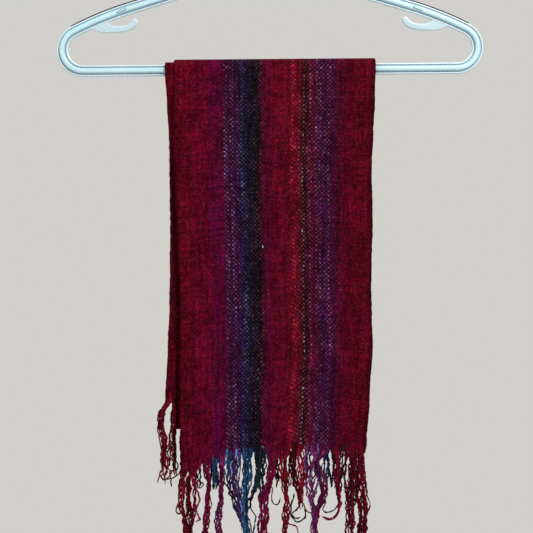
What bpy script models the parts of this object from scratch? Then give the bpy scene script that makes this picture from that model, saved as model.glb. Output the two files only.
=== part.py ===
"""Chenille scarf folded in half end to end and hung doubled over the bar of a plastic hanger.

Metres, +Z up, with the front towards -Y. The origin is the inside top of the hanger's hook, where a
rail carries it. Both fringed ends of the scarf hang in front and the loop of its fold hangs behind.
"""

import math
from collections import namedtuple

import bmesh
import bpy
from mathutils import Vector

# Hanger, moulded in one
HANGER_WIDTH = 0.420
BAR_DROP = 0.222  # inside top of the hook to the middle of the bar
TUBE_HEIGHT = 0.0112
TUBE_DEPTH = 0.0088
FLANGE_DEPTH = 0.0050
END_RADIUS = 0.0205  # middle of the tube round the two ends
SHOULDER_SLOPE = math.radians(27)
SHOULDER_RUN = 0.060  # length over which the slope of the shoulder eases to that of the arm
ARM_SLOPE = math.radians(16.8)
CROWN_RADIUS = 0.060  # middle of the tube over the arch where the arms meet
CROWN_SLOPE = math.radians(55)  # steepest slope at the foot of the arch
CROWN_FOOT_RADIUS = 0.016
CROWN_THICKENING = 1.22  # how much stouter the tube is at the top of the arch
NECK_BAR_Z = -0.1340  # thin bar across the arch
NECK_BAR_HEIGHT = 0.0040
NECK_BAR_DEPTH = 0.0040
HOOK_ROD = 0.0070
HOOK_NOSE = ((0.22, 0.90), (0.38, 0.65), (0.48, 0.30))  # lengths past the tip and scales, in rods
HOOK_INNER_RADIUS = 0.019
HOOK_TIP_ANGLE = math.radians(205)  # where the tip stands, from the stem's side over the top
HOOK_JOIN_ANGLE = math.radians(-50)  # where the stem flows into the circle, below its middle
STEM_OFFSET = 0.009  # how far left of the middle the stem stands on the arch
COLLAR_HEIGHT = 0.016
COLLAR_HALF_LENGTH = 0.017
COLLAR_HALF_DEPTH = 0.0048
GRIP_HEIGHT = 0.0012
GRIP_DEPTH = 0.0030
GRIP_RUN = 0.075  # straight run of the grip strip up the arm, past the shoulder

# Strap hook under each shoulder, in the hanger's own plane
STRAP_ROOT_X = 0.1755
STRAP_LEAVE_X = 0.1600  # where the strap hook's upper edge leaves the arm
STRAP_BEND_X = 0.1500
STRAP_Z = -0.1823
STRAP_THICK_ROOT = 0.0070
STRAP_THICK_TIP = 0.0052
STRAP_DEPTH = 0.0048
STRAP_BEND_RADIUS = 0.015
STRAP_BEND_TURN = math.radians(60)
STRAP_ROOT_SPAN = 0.008  # from the root to where the lower edge starts to run level
STRAP_ROOT_RISE = 0.0004
# Depth in shares of the strap hook's depth, and how much of the outline's height is left there
STRAP_FACES = ((-0.5, 0.85), (-0.36, 1.0), (0.36, 1.0), (0.5, 0.85))

# Scarf
CLOTH = 0.0022  # thickness of the woven chenille
GAP = 0.0003  # between neighbouring pieces
FRINGE_LENGTH = 0.087
OUTER_FRINGE_THICKNESS = 0.0046
INNER_FRINGE_THICKNESS = 0.0040
FOLD_DROP = 0.3505  # from the middle of the bar to where the fold's round begins
FOLD_OPENING_START = 0.300  # drop below which the two back layers part towards the fold
INNER_RADIUS = TUBE_HEIGHT / 2 + GAP + CLOTH / 2  # middle of the inner layer, over the bar
OUTER_RADIUS = INNER_RADIUS + CLOTH + GAP
LAYER_SPREAD = 0.0010  # how much further apart the two layers hang below the bar
SPREAD_RUN = 0.05  # drop over which they part
INNER_FRINGE_Y = -0.0054
WAVE_RUN = 0.08  # drop over which a wave grows from nothing
CREASE_OFFSET = 0.0030  # how far left of the outer layer's edge the inner layer dips
CREASE_DEPTH = 0.0075
CREASE_START = 0.012
CREASE_RUN = 0.26
CREASE_HALF_TOP = 0.0045
CREASE_HALF_GROWTH = 0.0035
TURNED_WIDTH = 0.012  # strip along the outer layer's right edge that turns back
TURNED_DEPTH = 0.0022
TURNED_START = 0.02
TURNED_RUN = 0.05
FOLD_INNER_Y = 0.0064
FOLD_OUTER_Y = 0.0124

Row = namedtuple("Row", "drop left right")
Hem = namedtuple("Hem", "x drop")
Wave = namedtuple("Wave", "x half_width depth start")
Station = namedtuple("Station", "x z heading")

# Side edges of each stretch by the drop below the middle of the bar
OUTER_FRONT_EDGES = (
    Row(0.000, -0.0943, 0.1032),
    Row(0.030, -0.0937, 0.1019),
    Row(0.068, -0.0931, 0.1002),
    Row(0.098, -0.0926, 0.0985),
    Row(0.157, -0.0914, 0.0990),
    Row(0.186, -0.0899, 0.0978),
    Row(0.216, -0.0893, 0.0971),
    Row(0.270, -0.0895, 0.0982),
    Row(0.324, -0.0900, 0.0947),
    Row(0.364, -0.0897, 0.0915),
    Row(0.390, -0.0882, 0.0884),
)
INNER_FRONT_EDGES = (
    Row(0.000, -0.1031, 0.0944),
    Row(0.038, -0.1010, 0.0930),
    Row(0.078, -0.0998, 0.0915),
    Row(0.157, -0.0994, 0.0900),
    Row(0.236, -0.1005, 0.0885),
    Row(0.275, -0.1028, 0.0872),
    Row(0.330, -0.1056, 0.0860),
)
OUTER_BACK_EDGES = (
    Row(0.000, -0.0943, 0.1032),
    Row(0.060, -0.0945, 0.0995),
    Row(0.157, -0.0948, 0.0968),
    Row(0.270, -0.0955, 0.0955),
    Row(0.360, -0.0970, 0.0925),
)
INNER_BACK_EDGES = (
    Row(0.000, -0.1031, 0.0944),
    Row(0.060, -0.0992, 0.0925),
    Row(0.157, -0.0978, 0.0922),
    Row(0.270, -0.0970, 0.0923),
    Row(0.360, -0.0970, 0.0925),
)

# Where the weaving ends, from left to right
OUTER_HEM = (
    Hem(-0.088, 0.3890),
    Hem(-0.077, 0.3885),
    Hem(-0.062, 0.3820),
    Hem(-0.040, 0.3755),
    Hem(-0.019, 0.3745),
    Hem(0.004, 0.3775),
    Hem(0.022, 0.3670),
    Hem(0.036, 0.3700),
    Hem(0.054, 0.3730),
    Hem(0.088, 0.3765),
)
INNER_HEM = (
    Hem(-0.105, 0.3210),
    Hem(-0.092, 0.3245),
    Hem(-0.040, 0.3280),
    Hem(0.030, 0.3255),
    Hem(0.086, 0.3290),
)

# Upright troughs (depth towards +Y) and ridges (towards -Y) that the layers share
FRONT_WAVES = (
    Wave(-0.062, 0.034, -0.0014, 0.040),
    Wave(-0.018, 0.026, 0.0012, 0.060),
    Wave(0.034, 0.030, -0.0015, 0.050),
    Wave(0.070, 0.022, 0.0009, 0.080),
)
BACK_WAVES = (
    Wave(-0.070, 0.030, 0.0013, 0.050),
    Wave(-0.022, 0.028, -0.0012, 0.040),
    Wave(0.026, 0.032, 0.0016, 0.070),
    Wave(0.074, 0.026, -0.0010, 0.050),
)

# Columns across a stretch as shares of its width, closer together by the left edge's crease
COLUMNS = (
    (0, 0.018, 0.036, 0.054, 0.072, 0.094, 0.12, 0.16)
    + tuple(0.22 + 0.07 * index for index in range(10))
    + (0.91, 0.96, 1)
)
PLAIN_COLUMNS = tuple(index / 12 for index in range(13))
ARC_END_STEP = 0.02


def material(name, colour, roughness, metallic=0.0):
    made = bpy.data.materials.new(name)
    made.use_nodes = True
    shader = made.node_tree.nodes["Principled BSDF"]
    shader.inputs["Base Color"].default_value = (*colour, 1)
    shader.inputs["Roughness"].default_value = roughness
    shader.inputs["Metallic"].default_value = metallic
    return made


def add_object(name, mesh, finish, parent):
    made = bpy.data.objects.new(name, mesh)
    mesh.materials.append(finish)
    bpy.context.scene.collection.objects.link(made)
    made.parent = parent
    return made


def smoothstep(value):
    value = min(max(value, 0.0), 1.0)
    return value * value * (3 - 2 * value)


def between(rows, key, field, at):
    """The field of a table at a value of its key, eased from row to row."""
    for low, high in zip(rows, rows[1:]):
        if at <= getattr(high, key):
            share = (at - getattr(low, key)) / (getattr(high, key) - getattr(low, key))
            return getattr(low, field) + (getattr(high, field) - getattr(low, field)) * smoothstep(share)
    return getattr(rows[-1], field)


# Paths in the hanger's plane, as stations with a heading


def ahead(start, length):
    x = start.x + length * math.cos(start.heading)
    z = start.z + length * math.sin(start.heading)
    return Station(x, z, start.heading)


def bend(start, radius, turn, steps):
    """Stations round an arc that starts along the heading; a positive turn goes to the left."""
    side = math.copysign(radius, turn)
    centre_x = start.x - side * math.sin(start.heading)
    centre_z = start.z + side * math.cos(start.heading)
    stations = []
    for step in range(steps + 1):
        heading = start.heading + turn * step / steps
        x = centre_x + side * math.sin(heading)
        z = centre_z - side * math.cos(heading)
        stations.append(Station(x, z, heading))
    return stations


def mirrored(stations):
    return [Station(-at.x, at.z, math.pi - at.heading) for at in stations]


# Sections, as (sideways in the hanger's plane, depth along Y) points


def tube_section():
    """A round core between two thinner flanges, above and below."""
    high = TUBE_HEIGHT / 2
    core = TUBE_DEPTH / 2
    flange = FLANGE_DEPTH / 2
    quarter = (
        (high, 0.0),
        (high * 0.973, flange * 0.52),
        (high * 0.875, flange * 0.92),
        (high * 0.66, flange),
        (high * 0.56, core * 0.74),
        (high * 0.30, core * 0.94),
        (0.0, core),
    )
    half = list(quarter) + [(-side, depth) for side, depth in reversed(quarter[:-1])]
    return half + [(side, -depth) for side, depth in reversed(half[1:-1])]


def round_section(width, depth, points=12):
    turns = [2 * math.pi * index / points for index in range(points)]
    return [(width / 2 * math.cos(turn), depth / 2 * math.sin(turn)) for turn in turns]


def sweep(name, stations, section, finish, parent, scales=None):
    """A closed solid that carries the section along the stations."""
    scales = scales or [1.0] * len(stations)
    shape = bmesh.new()
    rings = []
    for at, scale in zip(stations, scales):
        side_x = -math.sin(at.heading)
        side_z = math.cos(at.heading)
        ring = []
        for side, depth in section:
            place = Vector((at.x + side_x * side * scale, depth * scale, at.z + side_z * side * scale))
            ring.append(shape.verts.new(place))
        rings.append(ring)
    close_loft(shape, rings)
    return add_object(name, finished_mesh(name, shape), finish, parent)


def join_rings(shape, rings):
    for low, high in zip(rings, rings[1:]):
        for index in range(len(low)):
            after = (index + 1) % len(low)
            shape.faces.new((low[index], low[after], high[after], high[index]))


def close_loft(shape, rings):
    join_rings(shape, rings)
    shape.faces.new(rings[0][::-1])
    shape.faces.new(rings[-1])


def close_across(shape, ring):
    """Strips from front to back across a round ring that bends along its length."""
    count = len(ring)
    for index in range(count // 2):
        strip = [ring[index], ring[index + 1], ring[count - index - 1], ring[-index]]
        shape.faces.new(dict.fromkeys(strip))


def finished_mesh(name, shape):
    bmesh.ops.recalc_face_normals(shape, faces=shape.faces)
    mesh = bpy.data.meshes.new(name)
    shape.to_mesh(mesh)
    shape.free()
    mesh.shade_smooth()
    mesh.set_sharp_from_angle(angle=math.radians(40))
    return mesh


# Hanger

BAR_END = HANGER_WIDTH / 2 - TUBE_HEIGHT / 2 - END_RADIUS  # where the bar meets an end bend
CROWN_HALF = CROWN_RADIUS * math.sin(CROWN_SLOPE) + CROWN_FOOT_RADIUS * (
    math.sin(CROWN_SLOPE) - math.sin(ARM_SLOPE)
)


def right_end_stations():
    start = Station(BAR_END, -BAR_DROP, 0.0)
    return bend(start, END_RADIUS, math.pi - SHOULDER_SLOPE, 12)


def right_arm_stations():
    """The shoulder's curve, then a straight run up to the crown."""
    start = ahead(right_end_stations()[-1], GAP)
    turn = SHOULDER_SLOPE - ARM_SLOPE
    shoulder = bend(start, SHOULDER_RUN / turn, turn, 4)
    run = (shoulder[-1].x - CROWN_HALF) / math.cos(ARM_SLOPE) - GAP
    return shoulder + [ahead(shoulder[-1], run)]


def crown_stations():
    """Up the right foot, over the arch and down the left foot."""
    start = ahead(right_arm_stations()[-1], GAP)
    rise = bend(start, CROWN_FOOT_RADIUS, ARM_SLOPE - CROWN_SLOPE, 4)
    arch = bend(rise[-1], CROWN_RADIUS, 2 * CROWN_SLOPE, 14)
    fall = bend(arch[-1], CROWN_FOOT_RADIUS, ARM_SLOPE - CROWN_SLOPE, 4)
    return rise + arch[1:] + fall[1:]


def crown_apex():
    return max(at.z for at in crown_stations())


def crown_scales():
    """The tube grows stouter towards the top of the arch."""
    low = crown_stations()[0].z
    rise = crown_apex() - low
    return [1 + (CROWN_THICKENING - 1) * smoothstep(2 * (at.z - low) / rise - 1) for at in crown_stations()]


def crown_top():
    return crown_apex() + TUBE_HEIGHT / 2 * CROWN_THICKENING


def arm_z(x):
    """Height of the middle of the right arm's shoulder or run above a place on X."""
    stations = right_arm_stations()
    for low, high in zip(stations, stations[1:]):
        if high.x <= x <= low.x:
            return low.z + (high.z - low.z) * (low.x - x) / (low.x - high.x)
    raise ValueError("x lies past the arm")


def hook_path():
    """Stations of the stem, which sways further to the left, and of the circle, open to the right."""
    radius = HOOK_INNER_RADIUS + HOOK_ROD / 2
    sway = -HOOK_JOIN_ANGLE
    join_reach = radius * math.cos(sway)
    join_z = -HOOK_INNER_RADIUS - radius * math.sin(sway)
    sway_radius = (join_reach - STEM_OFFSET) / (1 - math.cos(sway))
    foot = Station(-STEM_OFFSET, crown_top() + GAP + COLLAR_HEIGHT + GAP, math.pi / 2)
    sway_start = Station(-STEM_OFFSET, join_z - sway_radius * math.sin(sway), math.pi / 2)
    curve = bend(sway_start, sway_radius, sway, 7)
    circle = bend(ahead(curve[-1], GAP), radius, HOOK_JOIN_ANGLE - HOOK_TIP_ANGLE, 20)
    return [foot] + curve, circle


def make_hook(finish, parent):
    rod = round_section(HOOK_ROD, HOOK_ROD)
    stem, circle = hook_path()
    sweep("hook_stem", stem, rod, finish, parent)
    nose = [ahead(circle[-1], HOOK_ROD * length) for length, _ in HOOK_NOSE]
    scales = [1.0] * len(circle) + [scale for _, scale in HOOK_NOSE]
    sweep("hook_bend", circle + nose, rod, finish, parent, scales)
    make_collar(stem[0], finish, parent)


def make_collar(stem_low, finish, parent):
    """The flare that spreads the stem's foot along the arch."""
    outside = CROWN_RADIUS + TUBE_HEIGHT / 2 * CROWN_THICKENING + GAP
    top = stem_low.z - GAP
    shape = bmesh.new()
    rings = []
    steps = 6
    for step in range(steps + 1):
        share = step / steps
        spread = (1 - share) ** 2
        half_length = HOOK_ROD / 2 + (COLLAR_HALF_LENGTH - HOOK_ROD / 2) * spread
        half_depth = HOOK_ROD / 2 + (COLLAR_HALF_DEPTH - HOOK_ROD / 2) * spread
        ring = []
        for side, depth in round_section(2.0, 2.0, 16):
            x = stem_low.x + side * half_length
            arch_z = crown_apex() - CROWN_RADIUS + math.sqrt(outside**2 - x**2)
            z = arch_z + (top - arch_z) * share
            ring.append(shape.verts.new((x, depth * half_depth, z)))
        rings.append(ring)
    join_rings(shape, rings)
    shape.faces.new(rings[-1])
    close_across(shape, rings[0])
    return add_object("hook_collar", finished_mesh("hook_collar", shape), finish, parent)


def make_neck_bar(finish, parent):
    """A thin bar whose ends follow the underside of the arch."""
    inside = CROWN_RADIUS - TUBE_HEIGHT / 2 - GAP
    centre_z = crown_apex() - CROWN_RADIUS
    section = round_section(NECK_BAR_HEIGHT, NECK_BAR_DEPTH)
    shape = bmesh.new()
    rings = []
    for side in (-1, 1):
        ring = []
        for rise, depth in section:
            z = NECK_BAR_Z + rise
            ring.append(shape.verts.new((side * math.sqrt(inside**2 - (z - centre_z) ** 2), depth, z)))
        rings.append(ring)
    close_loft(shape, rings)
    return add_object("neck_bar", finished_mesh("neck_bar", shape), finish, parent)


def strap_outline():
    """Outline of the right strap hook, from its root along the arm, round its tip and back."""
    clear = TUBE_HEIGHT / 2 / math.cos(SHOULDER_SLOPE) + GAP
    roots = [STRAP_ROOT_X + (STRAP_LEAVE_X - STRAP_ROOT_X) * step / 4 for step in range(5)]
    outline = [(x, arm_z(x) - clear) for x in roots]
    stations = bend(Station(-STRAP_BEND_X, STRAP_Z, 0.0), STRAP_BEND_RADIUS, STRAP_BEND_TURN, 6)
    upper = []
    lower = []
    for step, at in enumerate(stations):
        half = (STRAP_THICK_ROOT + (STRAP_THICK_TIP - STRAP_THICK_ROOT) * step / 6) / 2
        upper.append((-at.x + half * math.sin(at.heading), at.z + half * math.cos(at.heading)))
        lower.append((-at.x - half * math.sin(at.heading), at.z - half * math.cos(at.heading)))
    tip = stations[-1]
    nose = []
    for turn in (60, 20, -20, -60):
        heading = tip.heading + math.radians(turn)
        half = STRAP_THICK_TIP / 2
        nose.append((-tip.x - half * math.cos(heading), tip.z + half * math.sin(heading)))
    root_low = (STRAP_ROOT_X - STRAP_ROOT_SPAN, STRAP_Z - STRAP_THICK_ROOT / 2 + STRAP_ROOT_RISE)
    return outline + upper + nose + lower[::-1] + [root_low]


def make_strap_hook(name, flip, finish, parent):
    shape = bmesh.new()
    rings = []
    for depth, left in STRAP_FACES:
        ring = []
        for x, z in strap_outline():
            shrunk_z = STRAP_Z + (z - STRAP_Z) * left
            ring.append(shape.verts.new((flip * x, depth * STRAP_DEPTH, shrunk_z)))
        rings.append(ring)
    close_loft(shape, rings)
    return add_object(name, finished_mesh(name, shape), finish, parent)


def grip_stations():
    """The top of the shoulder and of part of the arm, raised clear of the tube."""
    arm = right_arm_stations()
    path = arm[:-1] + [ahead(arm[-2], GRIP_RUN)]
    lift = TUBE_HEIGHT / 2 + GAP + GRIP_HEIGHT / 2
    return [
        Station(at.x + lift * math.sin(at.heading), at.z - lift * math.cos(at.heading), at.heading)
        for at in path
    ]


def make_hanger(finish, grip_finish, parent):
    tube = tube_section()
    half_bar = BAR_END - GAP
    bar = [Station(-half_bar, -BAR_DROP, 0.0), Station(half_bar, -BAR_DROP, 0.0)]
    sweep("bar", bar, tube, finish, parent)
    sweep("crown", crown_stations(), tube, finish, parent, crown_scales())
    make_neck_bar(finish, parent)
    strip = round_section(GRIP_HEIGHT, GRIP_DEPTH, 8)
    for side, flip in (("left", -1), ("right", 1)):
        end, arm, grip = right_end_stations(), right_arm_stations(), grip_stations()
        if flip < 0:
            end, arm, grip = mirrored(end), mirrored(arm), mirrored(grip)
        sweep(f"{side}_end", end, tube, finish, parent)
        sweep(f"{side}_arm", arm, tube, finish, parent)
        sweep(f"{side}_grip_strip", grip, strip, grip_finish, parent)
        make_strap_hook(f"{side}_strap_hook", flip, finish, parent)
    make_hook(finish, parent)


# Scarf


def waves_at(waves, x, drop):
    depth = 0.0
    for wave in waves:
        across = 1 - smoothstep(abs(x - wave.x) / wave.half_width)
        depth += wave.depth * across * smoothstep((drop - wave.start) / WAVE_RUN)
    return depth


def crease_at(x, drop):
    """The inner layer dips behind the outer layer's left edge, more so further down."""
    middle = between(OUTER_FRONT_EDGES, "drop", "left", drop) - CREASE_OFFSET
    grown = smoothstep((drop - CREASE_START) / CREASE_RUN)
    half_width = CREASE_HALF_TOP + CREASE_HALF_GROWTH * grown
    depth = CREASE_DEPTH * grown
    return depth * (1 - smoothstep(abs(x - middle) / half_width))


def inner_front_y(x, drop):
    return -INNER_RADIUS + waves_at(FRONT_WAVES, x, drop) + crease_at(x, drop)


def outer_front_y(x, drop):
    """The outer layer hangs clear of the inner one and its right edge turns back a little."""
    spread = LAYER_SPREAD * smoothstep(drop / SPREAD_RUN)
    right = between(OUTER_FRONT_EDGES, "drop", "right", drop)
    grown = smoothstep((drop - TURNED_START) / TURNED_RUN)
    turned = TURNED_DEPTH * smoothstep((x - right) / TURNED_WIDTH + 1) * grown
    return -OUTER_RADIUS - spread + waves_at(FRONT_WAVES, x, drop) + turned


def inner_back_y(x, drop):
    opening = smoothstep((drop - FOLD_OPENING_START) / (FOLD_DROP - FOLD_OPENING_START))
    return INNER_RADIUS + (FOLD_INNER_Y - INNER_RADIUS) * opening + waves_at(BACK_WAVES, x, drop)


def outer_back_y(x, drop):
    spread = LAYER_SPREAD * smoothstep(drop / SPREAD_RUN)
    opening = smoothstep((drop - FOLD_OPENING_START) / (FOLD_DROP - FOLD_OPENING_START))
    resting = OUTER_RADIUS + spread
    return resting + (FOLD_OUTER_Y - resting) * opening + waves_at(BACK_WAVES, x, drop)


def sheet(name, columns, rows, place, thickness, finish, parent):
    """A wall of cloth: place(share across, share down) gives its middle, and Solidify its thickness."""
    shape = bmesh.new()
    grid = [[shape.verts.new(place(across, down)) for across in columns] for down in rows]
    for upper, lower in zip(grid, grid[1:]):
        for index in range(len(columns) - 1):
            shape.faces.new((upper[index], lower[index], lower[index + 1], upper[index + 1]))
    mesh = bpy.data.meshes.new(name)
    shape.to_mesh(mesh)
    shape.free()
    mesh.shade_smooth()
    made = add_object(name, mesh, finish, parent)
    wall = made.modifiers.new("Cloth", "SOLIDIFY")
    wall.thickness = thickness
    wall.offset = 0
    wall.use_even_offset = True
    return made


def shares(count):
    return [index / count for index in range(count + 1)]


def arc_shares(count):
    """Shares of an arc with a short first and last step, so that its rims stand square to it."""
    return [0, ARC_END_STEP] + shares(count)[1:-1] + [1 - ARC_END_STEP, 1]


def across_at(edges, drop, across):
    left = between(edges, "drop", "left", drop)
    right = between(edges, "drop", "right", drop)
    return left + (right - left) * across


def hanging(edges, hem, depth):
    """Place function of a stretch that hangs from the bar to its hem."""

    def place(across, down):
        end = hem_at(edges, hem, across)
        drop = GAP / 2 + (end - GAP / 2) * down
        x = across_at(edges, drop, across)
        return Vector((x, depth(x, drop), -BAR_DROP - drop))

    return place


def hem_at(edges, hem, across):
    if isinstance(hem, float):
        return hem
    return between(hem, "x", "drop", across_at(edges, edges[-1].drop, across))


def over_bar(edges, radius):
    """Place function of a stretch that goes over the bar, from front to back."""

    def place(across, down):
        margin = GAP / 2 / radius
        turn = margin + (math.pi - 2 * margin) * down
        x = across_at(edges, 0.0, across)
        return Vector((x, -radius * math.cos(turn), -BAR_DROP + radius * math.sin(turn)))

    return place


def fold_place(across, down):
    """Round the bottom of the loop, from the outer back stretch to the inner one."""
    x = across_at(INNER_BACK_EDGES, FOLD_DROP, across)
    outer = outer_back_y(x, FOLD_DROP)
    inner = inner_back_y(x, FOLD_DROP)
    radius = (outer - inner) / 2
    margin = GAP / 2 / radius
    turn = margin + (math.pi - 2 * margin) * down
    middle = (outer + inner) / 2
    drop = FOLD_DROP + radius * math.sin(turn)
    return Vector((x, middle + radius * math.cos(turn), -BAR_DROP - drop))


def fringe(edges, hem, depth):
    """Place function of the plain solid that a fringe fills below its hem."""

    def place(across, down):
        end = hem_at(edges, hem, across)
        drop = end + 2 * GAP + FRINGE_LENGTH * down
        return Vector((across_at(edges, end, across), depth, -BAR_DROP - drop))

    return place


def make_scarf(cloth, threads, parent):
    front_rows = shares(18)
    back_rows = shares(14)
    arc_rows = arc_shares(12)
    fold_end = FOLD_DROP - GAP / 2
    outer_front = hanging(OUTER_FRONT_EDGES, OUTER_HEM, outer_front_y)
    inner_front = hanging(INNER_FRONT_EDGES, INNER_HEM, inner_front_y)
    outer_back = hanging(OUTER_BACK_EDGES, fold_end, outer_back_y)
    inner_back = hanging(INNER_BACK_EDGES, fold_end, inner_back_y)
    sheet("outer_front", COLUMNS, front_rows, outer_front, CLOTH, cloth, parent)
    sheet("inner_front", COLUMNS, front_rows, inner_front, CLOTH, cloth, parent)
    sheet("outer_back", PLAIN_COLUMNS, back_rows, outer_back, CLOTH, cloth, parent)
    sheet("inner_back", PLAIN_COLUMNS, back_rows, inner_back, CLOTH, cloth, parent)
    sheet("outer_over_bar", (0, 1), arc_rows, over_bar(OUTER_FRONT_EDGES, OUTER_RADIUS), CLOTH, cloth, parent)
    sheet("inner_over_bar", (0, 1), arc_rows, over_bar(INNER_FRONT_EDGES, INNER_RADIUS), CLOTH, cloth, parent)
    sheet("bottom_fold", PLAIN_COLUMNS, arc_shares(8), fold_place, CLOTH, cloth, parent)
    outer_ends = fringe(OUTER_FRONT_EDGES, OUTER_HEM, -OUTER_RADIUS - LAYER_SPREAD)
    inner_ends = fringe(INNER_FRONT_EDGES, INNER_HEM, INNER_FRINGE_Y)
    sheet("outer_fringe", COLUMNS, (0, 1), outer_ends, OUTER_FRINGE_THICKNESS, threads, parent)
    sheet("inner_fringe", COLUMNS, (0, 1), inner_ends, INNER_FRINGE_THICKNESS, threads, parent)


def main():
    for old in list(bpy.data.objects):
        bpy.data.objects.remove(old, do_unlink=True)
    root = bpy.data.objects.new("scarf_on_hanger", None)
    bpy.context.scene.collection.objects.link(root)
    plastic = material("hanger_plastic", (0.78, 0.88, 0.90), 0.28)
    grip = material("grip_strip", (0.09, 0.10, 0.08), 0.8)
    cloth = material("chenille_crimson", (0.32, 0.01, 0.06), 0.95)
    threads = material("fringe_threads", (0.26, 0.01, 0.05), 0.9)
    make_hanger(plastic, grip, root)
    make_scarf(cloth, threads, root)


main()
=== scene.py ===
"""Chenille scarf doubled over the bar of a plastic hanger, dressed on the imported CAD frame.

Metres, +Z up, with the front towards -Y and the origin at the inside top of the hanger's hook.
Places on the cloth are given across it as a share of its width from the left edge, and along it from
the hem of the outer layer, over the bar, round the fold behind and over the bar again to the hem of
the inner layer. The fringes' tables are in millimetres.
"""

from __future__ import annotations

import logging
import math
import random
from dataclasses import dataclass, field
from enum import Enum
from typing import Callable, Sequence, Union

import bpy
import numpy as np
from mathutils import Matrix, Vector, noise


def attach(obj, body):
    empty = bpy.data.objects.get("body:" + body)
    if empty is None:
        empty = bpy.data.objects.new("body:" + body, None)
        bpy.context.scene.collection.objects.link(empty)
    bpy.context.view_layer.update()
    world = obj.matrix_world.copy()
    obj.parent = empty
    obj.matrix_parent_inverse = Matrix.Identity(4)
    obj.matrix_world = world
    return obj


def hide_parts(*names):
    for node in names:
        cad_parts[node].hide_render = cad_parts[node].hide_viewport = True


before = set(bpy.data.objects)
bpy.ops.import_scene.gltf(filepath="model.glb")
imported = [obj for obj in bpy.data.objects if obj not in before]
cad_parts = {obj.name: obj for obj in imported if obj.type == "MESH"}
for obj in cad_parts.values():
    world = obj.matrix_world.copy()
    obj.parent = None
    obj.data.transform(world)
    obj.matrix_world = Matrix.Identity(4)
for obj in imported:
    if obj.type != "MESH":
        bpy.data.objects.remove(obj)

log = logging.getLogger("scarf")

BODY = "root"
BAKE_MAP = "OFBake"  # flat map of each piece on the unit square
CLOTH_MAP = "Cloth"  # warp ends across and picks along
YARN_DYE = "Yarn"  # colour of each strand of a fringe
RIM_SHARE = "Rim"  # how far out on a moulded section a point lies
WAVER_GAIN = 1.6  # brings the noise to about -1 to 1
MAP_EDGE, MAP_SPAN = 0.008, 0.984  # margin and extent of a stretch on its flat map
CAP_EDGE, CAP_SPAN = 0.01, 0.98  # the same for the caps and the yarns

Array = np.ndarray
Material = bpy.types.Material
Piece = bpy.types.Object
Socket = bpy.types.NodeSocket
Colour = tuple[float, float, float]
Rows = tuple[tuple[float, ...], ...]
Stop = tuple[float, Colour, float]
Place = Callable[[Array, Array], Array]
Value = Union[Socket, float, Sequence[float]]


class Slot(Enum):
    """Material slots."""

    CHENILLE = "chenille"
    FRINGE = "fringe"
    HANGER = "hanger"
    GRIP = "grip"


class Held(Enum):
    """Ways in which a stretch of the cloth is held."""

    HUNG = "hung"
    DRAPED = "draped"
    FOLDED = "folded"


class Interpolation(Enum):
    """How a colour band blends from stop to stop."""

    STRAIGHT = "LINEAR"
    STEPPED = "CONSTANT"


class Side(Enum):
    """Sides of the hanger, with the sign of X there."""

    LEFT = -1
    RIGHT = 1

    @property
    def word(self) -> str:
        """The side's name in the names of pieces."""
        return self.name.lower()


# Small sums


def ease(value: Array | float) -> Array | float:
    """Smoothstep of a value held between 0 and 1."""
    held = np.clip(value, 0.0, 1.0)
    return held * held * (3 - 2 * held)


def unit(vectors: Array) -> Array:
    """The same directions at length 1."""
    return vectors / np.linalg.norm(vectors, axis=-1, keepdims=True)


def paint(red: float, green: float, blue: float) -> Colour:
    """Turns a colour as seen on a screen, from 0 to 255, into a linear one."""
    shares = [value / 255 for value in (red, green, blue)]
    return tuple(share / 12.92 if share <= 0.04045 else ((share + 0.055) / 1.055) ** 2.4 for share in shares)


def waver(across: Array | float, along: Array | float, seed: float) -> Array:
    """Smooth unevenness from about -1 to 1.

    Args:
        across: Places one way, scaled so that 1 is about the length of a wave.
        along: Places the other way.
        seed: Picks one of many patterns.

    Returns:
        One number for each place.
    """
    across, along = np.broadcast_arrays(across, along)
    found = [noise.noise(Vector((a, b, seed))) for a, b in zip(across.ravel(), along.ravel())]
    return np.reshape(found, across.shape) * WAVER_GAIN


def smooth_line(given: Array, spacing: float = 0.0012) -> Array:
    """Smooth line through given points.

    Args:
        given: The points.
        spacing: Distance between the new ones.

    Returns:
        The new points.
    """
    ends = np.vstack([2 * given[0] - given[1], given, 2 * given[-1] - given[-2]])
    line = []
    for a, b, c, d in zip(ends, ends[1:], ends[2:], ends[3:]):
        steps = max(2, int(np.linalg.norm(c - b) / spacing))
        square, cube = 2 * a - 5 * b + 4 * c - d, 3 * b - a - 3 * c + d
        line += [0.5 * (2 * b + (c - a) * t + square * t**2 + cube * t**3) for t in np.arange(steps) / steps]
    return np.array(line + [given[-1]])


def cells(grid: Array) -> Array:
    """Values at the four corners of every cell of a grid, in turn round each cell."""
    corners = (grid[:-1, :-1], grid[:-1, 1:], grid[1:, 1:], grid[1:, :-1])
    return np.stack(corners, axis=2).reshape(-1, *grid.shape[2:])


def map_cells(columns: Sequence[float], rows: Sequence[float]) -> list[list[float]]:
    """Map of every corner of the cells between columns and rows."""
    return cells(np.stack(np.meshgrid(columns, rows), axis=-1)).tolist()


@dataclass(frozen=True)
class Table:
    """Values at rising keys, eased from row to row."""

    keys: Sequence[float]
    values: Sequence[float]

    def at(self, wanted: Array | float) -> Array:
        """Looks the table up.

        Args:
            wanted: Keys, which may lie past the table's ends.

        Returns:
            The eased value at each key.
        """
        keys, values = np.array(self.keys), np.array(self.values)
        low = np.clip(np.searchsorted(keys, wanted, side="left") - 1, 0, len(keys) - 2)
        share = (wanted - keys[low]) / (keys[low + 1] - keys[low])
        return values[low] + (values[low + 1] - values[low]) * ease(share)


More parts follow.
